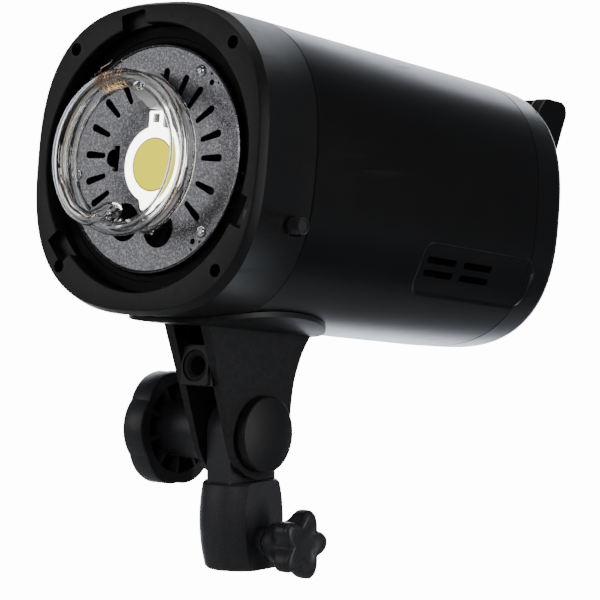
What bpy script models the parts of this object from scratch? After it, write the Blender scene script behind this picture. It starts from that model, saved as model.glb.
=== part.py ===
"""Monolight strobe: a studio flash head with a ring tube and an LED modelling lamp, on a tilting
bracket over a stand socket.

Units are metres and +Z is up. The origin is the middle of the stand socket's mouth. The head has
its own frame: its origin is the middle of the front face, y runs back along the head and z up
across it. That frame hangs on the tilt axis, so the whole head turns with it.
"""

import math

import bmesh
import bpy
from mathutils import Matrix

GAP = 0.0003  # clearance between pieces that touch
SEGMENTS = 48  # corners of a casing section

# The modifier throat drives the head's width and height, and HEAD_LENGTH its length.
THROAT_R = 0.059
HEAD_LENGTH = 0.236
FRONT_LENGTH = 0.0397
REAR_LENGTH = 0.0240
FACE_LAND_SIDE = 0.0065
FACE_LAND_TOP = 0.0082
COLLAR_DEPTH = 0.0049
COLLAR_STEP_SIDE = 0.0005
COLLAR_STEP_TOP = 0.0015
WAIST_TAPER_SIDE = 0.0016
WAIST_TAPER_TOP = 0.0003
BACK_TAPER_SIDE = 0.0001
BACK_TAPER_TOP = 0.0018
SECTION_POWER = 2.65  # squareness of the casing's section
WALL = 0.0025

FACE_W, FACE_H = THROAT_R + FACE_LAND_SIDE, THROAT_R + FACE_LAND_TOP
COLLAR_W, COLLAR_H = FACE_W + COLLAR_STEP_SIDE, FACE_H + COLLAR_STEP_TOP
WAIST_W, WAIST_H = COLLAR_W - WAIST_TAPER_SIDE, COLLAR_H - WAIST_TAPER_TOP
BACK_W, BACK_H = WAIST_W - BACK_TAPER_SIDE, WAIST_H - BACK_TAPER_TOP
SEAM_FRONT = FRONT_LENGTH
SEAM_REAR = HEAD_LENGTH - REAR_LENGTH

# Bayonet notches in the throat: the angle of each, counter-clockwise from +x seen from the front
NOTCH_ANGLES = (101.5, 220.5, 337.8)
NOTCH_WIDTH = 0.0138
NOTCH_DEPTH = 0.0062

# Front face screws
FACE_SCREW_HOLE_R = 0.0029
FACE_SCREW_HEAD_R = 0.0023
FACE_SCREW_INSET = 0.0040
FACE_SCREW_LENGTH = 0.0130
FACE_SCREW_SHANK_R = 0.0013

# Bayonet ring and reflector plate
RING_DEPTH = 0.0050
RING_LIP_T = 0.0030
RING_SLEEVE_LENGTH = 0.0120
RING_SLEEVE_T = 0.0022
PLATE_R = 0.0504
PLATE_DEPTH = 0.0056
PLATE_T = 0.0012
PLATE_RIM_T = 0.0012
PLATE_RIM_H = 0.0008
PLATE_PILOT_R = 0.0060  # inside the lamp's hole
PLATE_SLOT_ANGLES = tuple(range(-36, 217, 18))
PLATE_SLOT_IN, PLATE_SLOT_OUT = 0.0282, 0.0400
PLATE_SLOT_W = 0.0024
PLATE_SCREW_ANGLES = (57.0, -45.0, 189.0)
PLATE_SCREW_AT_R = 0.0450
PLATE_SCREW_R = 0.0022
PLATE_SCREW_BORE_R = 0.0013
PLATE_SCREW_LENGTH = 0.0075

# LED modelling lamp
LED_AT = (0.0020, -0.0028)  # from the plate's middle
LED_HOLDER_R = 0.0164
LED_HOLDER_T = 0.0030
LED_DISC_R = 0.0119
LED_DISC_T = 0.0008
SINK_W, SINK_L = 0.044, 0.020
SINK_CLEARANCE = 0.0010
SINK_FINS = 9
SINK_FIN_T = 0.0016
SINK_BASE_T = 0.0040

# Ring flash tube
TUBE_RING_R = 0.0327
TUBE_R = 0.00325
TUBE_PITCH = 0.0070
TUBE_START_AHEAD = 0.0063
LEG_ANGLES = (-78.0, -116.0)
LEG_BACK = 0.0010
LEG_STRAIGHT = 0.0025
LEG_SWEEP = 13.0  # degrees of the ring that each leg's bend takes
TUBE_SIDE_GAP = 0.0012
SOCKET_AT_R = 0.0312
SOCKET_R = 0.0082
SOCKET_BORE_R = 0.0018
SOCKET_SINK = 0.0035
SOCKET_LENGTH = 0.0110
ELECTRODE_R = 0.0014
TRIGGER_WIRE_R = 0.0004
SUPPORT_W, SUPPORT_T = 0.022, 0.0090

# Release pin
RELEASE_Y, RELEASE_Z = 0.0275, -0.0265
RELEASE_R = 0.0038
RELEASE_PROUD = 0.0076
RELEASE_TRAVEL = 0.0060
RELEASE_PLATE_T = 0.0022
RELEASE_PLATE_H = 0.0120
RELEASE_SPRING_R = 0.0026
RELEASE_SPRING_LENGTH = 0.0110
RELEASE_SPRING_WIRE_R = 0.0004
RELEASE_SPRING_TURNS = 4

# Cooling slots in each side of the body, as distances ahead of the rear seam
VENT_STARTS = (0.0810, 0.0520)
VENT_LENGTH = 0.0225
VENT_ROWS = (-0.0305, -0.0365)
VENT_H = 0.0030

# Rear cover, recess and control panel
COVER_LIP = 0.0060
COVER_ROUND = 0.0010
RECESS_DEPTH = 0.0090
RECESS_LAND = 0.0062
PANEL_SEAT = 0.0045
PANEL_T = 0.0020

# Rear handle
HANDLE_HALF_W = 0.0440
HANDLE_ARM_T = 0.0080
HANDLE_REACH = 0.0270
HANDLE_TOP_DROP = 0.0050
HANDLE_BAR_H = 0.0160
HANDLE_BAR_D = 0.0150
HANDLE_DROP = 0.0360

# Inner pieces
CHASSIS_Z = -0.0460
CHASSIS_HALF_W = 0.0430
CHASSIS_T = 0.0015
CAPACITOR_R = 0.0190
CAPACITOR_ROOM = 0.0923  # of the body's length, left ahead of and behind the capacitors
CAPACITOR_LENGTH = HEAD_LENGTH - FRONT_LENGTH - REAR_LENGTH - CAPACITOR_ROOM
CAPACITOR_AHEAD = 0.0200
BOARD_RISE = 0.0060
BOARD_HALF_W = 0.0480
BOARD_T = 0.0016
COIL_W, COIL_L, COIL_H = 0.034, 0.040, 0.028
FAN_SIZE = 0.0600
FAN_T = 0.0150
FAN_HUB_R = 0.0130
FAN_BLADES = 7
FAN_TIP_CLEARANCE = 0.0015
FAN_BEHIND = 0.0070  # from the fan's rear to the rear seam

# Bracket
TILT_DEG = 7.0  # the front raised
PIVOT_HEIGHT = 0.0615
FACE_AHEAD = 0.0798  # from the tilt axis to the front face
PIVOT_DROP = 0.0477  # from the casing's underside to the tilt axis
PAD_T = 0.0022
PAD_HALF_W = 0.0385
PAD_AHEAD, PAD_BEHIND = 0.0640, 0.0340  # from the tilt axis
CHEEK_SPREAD = 0.0470  # outer faces' lean, in x per z
CHEEK_OUTER = 0.0112  # at the tilt axis
CHEEK_INNER = 0.0081
CHEEK_ROUND_R = 0.0205
CHEEK_FRONT_TOP = -0.0440
CHEEK_REAR_TOP = 0.0290
CHEEK_REAR_WAIST = 0.0200
UMBRELLA_RISE = 0.0284  # above the tilt axis
UMBRELLA_BLOCK_H = 0.0090  # below the umbrella bore's middle
UMBRELLA_BORE_R = 0.0043
UMBRELLA_BUSH_R = 0.0062
UMBRELLA_FROM, UMBRELLA_TO = -0.0345, 0.0210
BOLT_R = 0.0040
BOLT_CLEARANCE = 0.0004
WASHER_R = 0.0130
WASHER_T = 0.0005
CAP_R = 0.0175
CAP_EDGE = 0.0040
CAP_DOME = 0.0022

# Tilt knob
KNOB_R = 0.0272
KNOB_LOBES = 6
KNOB_PHASE = 4.0
KNOB_LOBE_DEPTH = 0.0016
KNOB_W = 0.0126
KNOB_INNER_FACE = 0.0369  # from the head's middle plane
KNOB_HUB_R = 0.0135
KNOB_RIM_T = 0.0045
KNOB_FLOOR_T = 0.0030
KNOB_RIBS = 10
KNOB_RIB_T = 0.0018

# Stand adaptor
SPIGOT_BORE_R = 0.0081
SPIGOT_BORE_DEPTH = 0.0360
BARREL_H = 0.0400
BARREL_WALL = 0.0111
BARREL_TAPER_TOP = 0.0016
BARREL_TAPER_FOOT = 0.0024
BARREL_CHAMFER = 0.0012
BARREL_FLAT = 0.0138
TONGUE_HALF_T = 0.0070
TONGUE_R = 0.0157
TONGUE_SINK = 0.0025  # how far the tongue's foot runs into the barrel

# Clamp screw and star knob
CLAMP_Z = 0.0130
CLAMP_SCREW_R = 0.0029
CLAMP_PAD_T = 0.0016
CLAMP_PITCH = 0.00125
STAR_HUB_GAP = 0.0057
STAR_HUB_R = 0.0090
STAR_HUB_L = 0.0105
STAR_R = 0.0162
STAR_W = 0.0098
STAR_LOBES = 5
STAR_VALLEY = 0.0056

PARTS_NAME = "monolight_strobe"
FACING_BACK = (-math.pi / 2, 0.0, 0.0)  # turns local +z to +y
FACING_FRONT = (math.pi / 2, 0.0, 0.0)  # turns local +z to -y
FACING_RIGHT = (0.0, math.pi / 2, 0.0)  # turns local +z to +x
FACING_LEFT = (0.0, -math.pi / 2, 0.0)  # turns local +z to -x
SIDE_VIEW = Matrix(((0, 0, 1, 0), (1, 0, 0, 0), (0, 1, 0, 0), (0, 0, 0, 1)))  # outline in y, z
FRONT_VIEW = Matrix(((1, 0, 0, 0), (0, 0, -1, 0), (0, 1, 0, 0), (0, 0, 0, 1)))  # outline in x, z


def clear_scene():
    for obj in list(bpy.data.objects):
        bpy.data.objects.remove(obj)


def make_collection(name):
    group = bpy.data.collections.new(name)
    bpy.context.scene.collection.children.link(group)
    return group


def finish(name, colour, roughness, metallic=0.0):
    """A Principled material of one colour."""
    material = bpy.data.materials.new(name)
    material.use_nodes = True
    shader = material.node_tree.nodes["Principled BSDF"]
    shader.inputs["Base Color"].default_value = (*colour, 1.0)
    shader.inputs["Roughness"].default_value = roughness
    shader.inputs["Metallic"].default_value = metallic
    material.diffuse_color = (*colour, 1.0)
    return material


clear_scene()
PARTS = make_collection(PARTS_NAME)
CUTTERS = make_collection("cutters")

BLACK = finish("satin_black_plastic", (0.012, 0.012, 0.013), 0.34)
GREY = finish("textured_grey_plastic", (0.045, 0.045, 0.050), 0.55)
PLATE = finish("pebbled_aluminium", (0.62, 0.62, 0.62), 0.30, 1.0)
STEEL = finish("steel", (0.55, 0.55, 0.56), 0.28, 1.0)
BRASS = finish("brass", (0.70, 0.52, 0.25), 0.30, 1.0)
GLASS = finish("tube_glass", (0.90, 0.93, 0.95), 0.03)
WHITE = finish("white_ceramic", (0.82, 0.82, 0.80), 0.40)
PHOSPHOR = finish("led_phosphor", (0.90, 0.75, 0.05), 0.45)
COPPER = finish("copper_wire", (0.72, 0.40, 0.22), 0.35, 1.0)
BOARD = finish("circuit_board", (0.03, 0.16, 0.07), 0.50)
SLEEVE = finish("capacitor_sleeve", (0.03, 0.05, 0.12), 0.35)
RUBBER = finish("rubber", (0.02, 0.02, 0.02), 0.75)
SCREEN = finish("display_window", (0.02, 0.04, 0.05), 0.08)
SENSOR = finish("sensor_dome", (0.25, 0.02, 0.02), 0.12)
SIGNAL = finish("coloured_button", (0.45, 0.05, 0.04), 0.40)


def add(name, mesh, material, parent=None, at=(0, 0, 0), turn=(0, 0, 0)):
    """Puts a mesh in the model as a named part, at a place in its parent's frame."""
    obj = bpy.data.objects.new(name, mesh)
    PARTS.objects.link(obj)
    obj.parent = parent
    obj.location = at
    obj.rotation_euler = turn
    if obj.type == "MESH":
        mesh.shade_smooth()
        mesh.set_sharp_from_angle(angle=math.radians(35))
    mesh.materials.append(material)
    return obj


def as_cutter(obj):
    PARTS.objects.unlink(obj)
    CUTTERS.objects.link(obj)
    obj.hide_render = True
    obj.display_type = "WIRE"
    return obj


def combine(obj, tool, operation="DIFFERENCE"):
    """Cuts, joins or crops a part with another object, which stays as a hidden cutter."""
    if tool.name in PARTS.objects:
        as_cutter(tool)
    change = obj.modifiers.new(f"{operation.lower()}_{tool.name}"[:60], "BOOLEAN")
    change.operation = operation
    change.solver = "EXACT"
    change.object = tool
    return obj


def bevel(obj, width, segments=2):
    change = obj.modifiers.new("bevel", "BEVEL")
    change.width = width
    change.segments = segments
    change.limit_method = "ANGLE"
    change.angle_limit = math.radians(40)
    return obj


def empty(name, at, turn=(0, 0, 0), parent=None):
    obj = bpy.data.objects.new(name, None)
    PARTS.objects.link(obj)
    obj.location = at
    obj.rotation_euler = turn
    obj.parent = parent
    return obj


def mesh_of(build, *args, **options):
    """A mesh made by one bmesh operation."""
    work = bmesh.new()
    build(work, *args, **options)
    mesh = bpy.data.meshes.new("shape")
    work.to_mesh(mesh)
    work.free()
    return mesh


def box(size, centre=(0, 0, 0)):
    place = Matrix.Translation(centre) @ Matrix.Diagonal((*size, 1))
    return mesh_of(bmesh.ops.create_cube, size=1.0, matrix=place)


def boxes(items):
    """One mesh of several separate boxes, each a (size, centre) or (size, matrix) pair."""
    work = bmesh.new()
    for size, place in items:
        where = place if isinstance(place, Matrix) else Matrix.Translation(place)
        bmesh.ops.create_cube(work, size=1.0, matrix=where @ Matrix.Diagonal((*size, 1)))
    mesh = bpy.data.meshes.new("boxes")
    work.to_mesh(mesh)
    work.free()
    return mesh


def rods(radius, length, places, segments=20):
    """One mesh of equal separate cylinders along local z, one for each matrix."""
    work = bmesh.new()
    for place in places:
        bmesh.ops.create_cone(
            work, cap_ends=True, segments=segments, radius1=radius, radius2=radius,
            depth=length, matrix=place,
        )
    mesh = bpy.data.meshes.new("rods")
    work.to_mesh(mesh)
    work.free()
    return mesh


def turned(name, profile, material, parent=None, at=(0, 0, 0), turn=(0, 0, 0), steps=32):
    """Turns a profile of (radius, height) points about local z: down its outer side from the
    top, and back up its inner side where it has a bore, which closes the profile."""
    mesh = bpy.data.meshes.new(name)
    bored = min(radius for radius, height in profile) > 0
    edges = [(i, i + 1) for i in range(len(profile) - 1)]
    if bored:
        edges.append((len(profile) - 1, 0))
    mesh.from_pydata([(radius, 0, height) for radius, height in profile], edges, [])
    obj = bpy.data.objects.new(name, mesh)
    PARTS.objects.link(obj)
    obj.parent = parent
    obj.location = at
    obj.rotation_euler = turn
    mesh.materials.append(material)
    screw = obj.modifiers.new("turn", "SCREW")
    screw.axis = "Z"
    screw.steps = screw.render_steps = steps
    screw.use_merge_vertices = not bored
    screw.merge_threshold = 0.00001
    screw.use_smooth_shade = True
    return obj


def plain_profile(radius, bottom, top, bore=0.0):
    inner = [(bore, bottom), (bore, top)] if bore else [(0, bottom)]
    start = [] if bore else [(0, top)]
    return start + [(radius, top), (radius, bottom)] + inner


def outline(loops, thickness, view=None):
    """A flat solid from closed outlines, the later ones holes, centred on its own plane."""
    curve = bpy.data.curves.new("outline", "CURVE")
    curve.dimensions = "2D"
    curve.fill_mode = "BOTH"
    curve.extrude = thickness / 2
    for points in loops:
        spline = curve.splines.new("POLY")
        spline.points.add(len(points) - 1)
        for point, (x, y) in zip(spline.points, points):
            point.co = (x, y, 0, 1)
        spline.use_cyclic_u = True
    source = bpy.data.objects.new("outline", curve)
    bpy.context.scene.collection.objects.link(source)
    bpy.context.view_layer.update()
    graph = bpy.context.evaluated_depsgraph_get()
    mesh = bpy.data.meshes.new_from_object(source.evaluated_get(graph))
    bpy.data.objects.remove(source)
    work = bmesh.new()
    work.from_mesh(mesh)
    bmesh.ops.remove_doubles(work, verts=work.verts, dist=0.000001)
    bmesh.ops.recalc_face_normals(work, faces=work.faces)
    work.to_mesh(mesh)
    work.free()
    if view:
        mesh.transform(view)
    return mesh


def arc(centre, radius, start, end, count):
    """Points on an arc, angles in degrees."""
    turns = [math.radians(start + (end - start) * i / (count - 1)) for i in range(count)]
    return [(centre[0] + radius * math.cos(t), centre[1] + radius * math.sin(t)) for t in turns]


def tube(name, points, radius, material, parent=None, resolution=2):
    """A round wire or rod of filled ends along a list of points."""
    curve = bpy.data.curves.new(name, "CURVE")
    curve.dimensions = "3D"
    curve.bevel_depth = radius
    curve.bevel_resolution = resolution
    curve.use_fill_caps = True
    spline = curve.splines.new("POLY")
    spline.points.add(len(points) - 1)
    for point, place in zip(spline.points, points):
        point.co = (*place, 1)
    return add(name, curve, material, parent)


def section(half_w, half_h, y, power=SECTION_POWER):
    """Corners of a superellipse across the head at the depth y, counter-clockwise from +x."""
    points = []
    for i in range(SEGMENTS):
        turn = 2 * math.pi * i / SEGMENTS
        c, s = math.cos(turn), math.sin(turn)
        x = half_w * math.copysign(abs(c) ** (2 / power), c)
        z = half_h * math.copysign(abs(s) ** (2 / power), s)
        points.append((x, y, z))
    return points


def half_width_at(half_w, half_h, z):
    """The section's half width at a height z."""
    return half_w * (1 - min(1.0, abs(z) / half_h) ** SECTION_POWER) ** (1 / SECTION_POWER)


def loft(rings, closed=False):
    """Skins rings of equal count, front to back, with faces that point out. A closed loft also
    gets both end faces."""
    count = len(rings[0])
    points = [point for ring in rings for point in ring]
    faces = []
    for row in range(len(rings) - 1):
        here, there = row * count, (row + 1) * count
        for i in range(count):
            j = (i + 1) % count
            faces.append((here + i, there + i, there + j, here + j))
    if closed:
        faces.append(tuple(range(count)))
        last = (len(rings) - 1) * count
        faces.append(tuple(last + i for i in reversed(range(count))))
    mesh = bpy.data.meshes.new("loft")
    mesh.from_pydata(points, [], faces)
    return mesh


def solidify(obj, thickness):
    change = obj.modifiers.new("wall", "SOLIDIFY")
    change.thickness = thickness
    change.offset = -1
    change.use_even_offset = True
    return obj


def casing_size(y):
    """Half width and half height of the straight casing at the depth y."""
    share = (y - SEAM_FRONT) / (SEAM_REAR - SEAM_FRONT)
    share = min(1.0, max(0.0, share))
    return WAIST_W + (BACK_W - WAIST_W) * share, WAIST_H + (BACK_H - WAIST_H) * share


def casing_solid(name, offset, parent):
    """A plain solid of the casing's outside, grown by an offset, for fitting pieces to it."""
    rings = []
    for y in (-0.01, SEAM_FRONT, SEAM_REAR, HEAD_LENGTH + 0.01):
        half_w, half_h = casing_size(y)
        rings.append(section(half_w + offset, half_h + offset, y))
    return as_cutter(add(name, loft(rings, closed=True), BLACK, parent))


# ---------------------------------------------------------------- frames

PIVOT = empty("tilt_pivot", (0, 0, PIVOT_HEIGHT), (-math.radians(TILT_DEG), 0, 0))
AXIS_RISE = PIVOT_DROP + WAIST_H
HEAD = empty("head_centre", (0, -FACE_AHEAD, AXIS_RISE), parent=PIVOT)


# ---------------------------------------------------------------- front of the head


def front_housing():
    rings = [
        section(THROAT_R, THROAT_R, 0.0, 2.0),
        section(FACE_W, FACE_H, 0.0),
        section(COLLAR_W, COLLAR_H, COLLAR_DEPTH),
        section(WAIST_W, WAIST_H, SEAM_FRONT - GAP / 2),
    ]
    obj = solidify(add("front_housing", loft(rings), BLACK, HEAD), WALL)
    notches = []
    for angle in NOTCH_ANGLES:
        turn = Matrix.Rotation(-math.radians(angle), 4, "Y")
        place = turn @ Matrix.Translation((THROAT_R, 0, 0))
        notches.append(((2 * NOTCH_DEPTH, 4 * WALL, NOTCH_WIDTH), place))
    combine(obj, add("notch_cutter", boxes(notches), BLACK, HEAD))
    holes = [Matrix.Translation((x, 0, z)) @ Matrix.Rotation(math.pi / 2, 4, "X")
             for x, z in face_screw_places()]
    combine(obj, add("face_hole_cutter", rods(FACE_SCREW_HOLE_R, 4 * WALL, holes), BLACK, HEAD))
    slot_w = half_width_at(WAIST_W, WAIST_H, RELEASE_Z)
    slot = outline([slot_outline(RELEASE_TRAVEL, RELEASE_R + GAP)], 6 * WALL, SIDE_VIEW)
    at = (slot_w, RELEASE_Y, RELEASE_Z)
    combine(obj, add("release_slot_cutter", slot, BLACK, HEAD, at))
    return obj


def slot_outline(travel, radius):
    """A round-ended slot that starts at the origin and runs along +x."""
    return arc((0, 0), radius, 90, 270, 9) + arc((travel, 0), radius, -90, 90, 9)


def face_screw_places():
    """The four face screws lie on the section's corners, inside the wall."""
    turn = 0.8
    x = FACE_W * math.cos(turn) ** (2 / SECTION_POWER)
    z = FACE_H * math.sin(turn) ** (2 / SECTION_POWER)
    reach = math.hypot(x, z)
    share = (reach - WALL - FACE_SCREW_HEAD_R - GAP) / reach
    return [(side * x * share, up * z * share) for up in (1, -1) for side in (-1, 1)]


def face_screws():
    profile = [
        (0, 0), (FACE_SCREW_HEAD_R, 0), (FACE_SCREW_HEAD_R, -0.002),
        (FACE_SCREW_SHANK_R, -0.002), (FACE_SCREW_SHANK_R, -FACE_SCREW_LENGTH),
        (0, -FACE_SCREW_LENGTH),
    ]
    for number, (x, z) in enumerate(face_screw_places(), 1):
        at = (x, 0.001, z)
        turned(f"face_screw_{number}", profile, STEEL, HEAD, at, FACING_FRONT, 12)


def bayonet_ring():
    outer = THROAT_R - GAP
    inner = PLATE_R + GAP
    profile = [
        (outer, RING_DEPTH), (outer, RING_DEPTH + RING_SLEEVE_LENGTH),
        (outer - RING_SLEEVE_T, RING_DEPTH + RING_SLEEVE_LENGTH),
        (outer - RING_SLEEVE_T, RING_DEPTH + RING_LIP_T),
        (inner, RING_DEPTH + RING_LIP_T), (inner, RING_DEPTH),
    ]
    turned("bayonet_ring", profile[::-1], BLACK, HEAD, turn=FACING_BACK, steps=SEGMENTS)


def reflector_plate():
    front = -PLATE_DEPTH
    profile = [
        (PLATE_PILOT_R, front), (PLATE_R - PLATE_RIM_T, front),
        (PLATE_R - PLATE_RIM_T, front + PLATE_RIM_H), (PLATE_R, front + PLATE_RIM_H),
        (PLATE_R, front - PLATE_T), (PLATE_PILOT_R, front - PLATE_T),
    ]
    obj = turned("reflector_plate", profile, PLATE, HEAD, turn=FACING_FRONT, steps=SEGMENTS)
    lamp = Matrix.Translation((LED_AT[0], PLATE_DEPTH, LED_AT[1]))
    lamp_hole = rods(LED_HOLDER_R + GAP, 0.01, [lamp @ Matrix.Rotation(math.pi / 2, 4, "X")], 32)
    combine(obj, add("lamp_hole_cutter", lamp_hole, BLACK, HEAD))
    slots = []
    middle = (PLATE_SLOT_IN + PLATE_SLOT_OUT) / 2
    for angle in PLATE_SLOT_ANGLES:
        turn = Matrix.Rotation(-math.radians(angle), 4, "Y")
        place = turn @ Matrix.Translation((middle, PLATE_DEPTH, 0))
        slots.append(((PLATE_SLOT_OUT - PLATE_SLOT_IN, 0.01, PLATE_SLOT_W), place))
    combine(obj, add("plate_slot_cutter", boxes(slots), BLACK, HEAD))
    holes = [Matrix.Translation((x, PLATE_DEPTH, z)) @ Matrix.Rotation(math.pi / 2, 4, "X")
             for x, z in socket_places()]
    combine(obj, add("socket_hole_cutter", rods(SOCKET_R + GAP, 0.01, holes, 28), BLACK, HEAD))
    holes = [Matrix.Translation((x, PLATE_DEPTH, z)) @ Matrix.Rotation(math.pi / 2, 4, "X")
             for x, z in polar_places(PLATE_SCREW_AT_R, PLATE_SCREW_ANGLES)]
    tool = rods(PLATE_SCREW_BORE_R + GAP, 0.01, holes, 12)
    combine(obj, add("plate_screw_cutter", tool, BLACK, HEAD))
    return obj


def polar_places(radius, angles):
    return [(radius * math.cos(math.radians(a)), radius * math.sin(math.radians(a)))
            for a in angles]


def socket_places():
    return polar_places(SOCKET_AT_R, LEG_ANGLES)


def plate_screws():
    profile = [
        (0, 0.0012), (PLATE_SCREW_R * 0.7, 0.0011), (PLATE_SCREW_R, 0.0004),
        (PLATE_SCREW_R, 0), (PLATE_SCREW_BORE_R, 0), (PLATE_SCREW_BORE_R, -PLATE_SCREW_LENGTH),
        (0, -PLATE_SCREW_LENGTH),
    ]
    places = polar_places(PLATE_SCREW_AT_R, PLATE_SCREW_ANGLES)
    for number, (x, z) in enumerate(places, 1):
        at = (x, PLATE_DEPTH - GAP, z)
        turned(f"plate_screw_{number}", profile, STEEL, HEAD, at, FACING_FRONT, 12)


def led_lamp():
    holder_front = PLATE_DEPTH - 0.0008
    profile = [
        (0, 0), (LED_HOLDER_R - 0.0006, 0), (LED_HOLDER_R, -0.0006),
        (LED_HOLDER_R, -LED_HOLDER_T), (0, -LED_HOLDER_T),
    ]
    at_x, at_z = LED_AT
    turned("led_holder", profile, WHITE, HEAD, (at_x, holder_front, at_z), FACING_FRONT, 32)
    profile = [
        (0, LED_DISC_T), (LED_DISC_R - 0.0003, LED_DISC_T), (LED_DISC_R, LED_DISC_T - 0.0003),
        (LED_DISC_R, 0), (0, 0),
    ]
    at = (at_x, holder_front - GAP, at_z)
    turned("led_emitter", profile, PHOSPHOR, HEAD, at, FACING_FRONT, 28)
    back = holder_front + LED_HOLDER_T + GAP
    comb = [(-SINK_W / 2, 0), (SINK_W / 2, 0)]
    pitch = (SINK_W - SINK_FIN_T) / (SINK_FINS - 1)
    for fin in reversed(range(SINK_FINS)):
        left = -SINK_W / 2 + fin * pitch
        right = left + SINK_FIN_T
        comb += [(right, SINK_BASE_T), (right, SINK_L), (left, SINK_L), (left, SINK_BASE_T)]
    comb = [point for i, point in enumerate(comb) if i not in (2, len(comb) - 1)]
    lowest = min(abs(z) for x, z in socket_places()) - SOCKET_R - SINK_CLEARANCE
    mesh = outline([comb], 2 * lowest)
    add("led_heat_sink", mesh, STEEL, HEAD, (0, back, 0))


def flash_tube_path():
    """The glass runs forward out of one socket, twice round the ring and back inside it."""
    first, last = LEG_ANGLES[0], LEG_ANGLES[1] + 720
    start_y = -TUBE_START_AHEAD
    steps = 56
    ring = []
    for i in range(steps + 1):
        angle = first + (last - first) * i / steps
        y = start_y - TUBE_PITCH * (angle - first) / 360
        x, z = polar_places(TUBE_RING_R, (angle,))[0]
        ring.append((x, y, z))
    (ax, az), (bx, bz) = socket_places()
    straight_y = LEG_BACK - LEG_STRAIGHT
    entry = [(ax, LEG_BACK, az)]
    for share in (0.0, 0.30, 0.60, 0.85):
        bend = share * math.pi / 2
        y = straight_y + (start_y - straight_y) * math.sin(bend)
        radius = SOCKET_AT_R + (TUBE_RING_R - SOCKET_AT_R) * share
        x, z = polar_places(radius, (first + LEG_SWEEP * (1 - math.cos(bend)),))[0]
        entry.append((x, y, z))
    inner_r = TUBE_RING_R - 2 * TUBE_R - TUBE_SIDE_GAP
    end_y = ring[-1][1]
    leave = []
    for share in (0.15, 0.40, 0.70, 1.0):
        bend = share * math.pi / 2
        angle = last + LEG_SWEEP * math.sin(bend)
        x, z = polar_places(TUBE_RING_R + (inner_r - TUBE_RING_R) * share, (angle,))[0]
        leave.append((x, end_y + 2 * TUBE_R * (1 - math.cos(bend)), z))
    ix, iy, iz = leave[-1]
    for share in (0.35, 0.60, 0.80):
        blend = max(0.0, share - 0.45) / 0.35 * 0.9
        y = iy + (straight_y - iy) * share
        leave.append((ix + (bx - ix) * blend, y, iz + (bz - iz) * blend))
    leave += [(bx, straight_y, bz), (bx, LEG_BACK, bz)]
    return [*entry, *ring[2:-1], *leave]


def flash_tube():
    tube("flash_tube", flash_tube_path(), TUBE_R, GLASS, HEAD)
    bottom = TUBE_PITCH / 2
    wire_r = TUBE_RING_R + math.sqrt((TUBE_R + TRIGGER_WIRE_R + GAP) ** 2 - bottom**2)
    points = []
    for i in range(37):
        angle = LEG_ANGLES[0] + 20 + 270 * i / 36
        y = -TUBE_START_AHEAD - bottom - TUBE_PITCH * (angle - LEG_ANGLES[0]) / 360
        x, z = polar_places(wire_r, (angle,))[0]
        points.append((x, y, z))
    tube("trigger_wire", points, TRIGGER_WIRE_R, COPPER, HEAD, 1)
    for side, (x, z) in zip(("right", "left"), socket_places()):
        pin = plain_profile(ELECTRODE_R, PLATE_DEPTH + SOCKET_SINK + 0.006, LEG_BACK + GAP)
        pin = [(radius, -height) for radius, height in pin]
        at = (x, 0, z)
        turned(f"electrode_{side}", pin, STEEL, HEAD, at, FACING_FRONT, 16)
        front = PLATE_DEPTH + SOCKET_SINK
        ring_profile = plain_profile(
            SOCKET_R, -(front + SOCKET_LENGTH), -front, SOCKET_BORE_R
        )
        turned(f"tube_socket_{side}", ring_profile, BLACK, HEAD, at, FACING_FRONT, 20)
    top = TUBE_RING_R
    tube_back = -TUBE_START_AHEAD - TUBE_PITCH * (90 - LEG_ANGLES[0]) / 360 + TUBE_R
    front, back = tube_back + 0.0012, PLATE_DEPTH - GAP
    mesh = box((SUPPORT_W, back - front, SUPPORT_T), (0, (front + back) / 2, top))
    bevel(add("tube_support", mesh, WHITE, HEAD), 0.0012, 1)


def release_catch():
    """A knob on the side of the housing, on a sprung plate whose front edge locks a modifier."""
    wall_x = half_width_at(WAIST_W, WAIST_H, RELEASE_Z)
    plate_out = half_width_at(WAIST_W - WALL, WAIST_H - WALL, abs(RELEASE_Z) + RELEASE_PLATE_H / 2)
    plate_out -= 0.001
    plate_in = plate_out - RELEASE_PLATE_T
    at = (wall_x, RELEASE_Y, RELEASE_Z)
    profile = [
        (0, RELEASE_PROUD), (RELEASE_R - 0.0005, RELEASE_PROUD),
        (RELEASE_R, RELEASE_PROUD - 0.0005), (RELEASE_R, plate_in - wall_x),
        (0, plate_in - wall_x),
    ]
    knob = turned("knob_tool", profile, BLACK, HEAD, at, FACING_RIGHT, 28)
    front, back = WALL + 0.0015, RELEASE_Y + RELEASE_R + 0.001
    size = (RELEASE_PLATE_T, back - front, RELEASE_PLATE_H)
    middle = ((plate_in + plate_out) / 2 - wall_x, (front + back) / 2 - RELEASE_Y, 0)
    plate = add("release_pin", box(size, middle), BLACK, HEAD, at)
    combine(plate, knob, "UNION")
    points = []
    count = 8 * RELEASE_SPRING_TURNS
    start = back + GAP + RELEASE_SPRING_WIRE_R
    middle_x = plate_in + RELEASE_PLATE_T / 2 - RELEASE_SPRING_R
    for i in range(count + 1):
        turn = 2 * math.pi * i / 8
        x = middle_x + RELEASE_SPRING_R * math.cos(turn)
        y = start + RELEASE_SPRING_LENGTH * i / count
        points.append((x, y, RELEASE_Z + RELEASE_SPRING_R * math.sin(turn)))
    tube("release_spring", points, RELEASE_SPRING_WIRE_R, STEEL, HEAD, 1)


# ---------------------------------------------------------------- body and rear of the head


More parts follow.
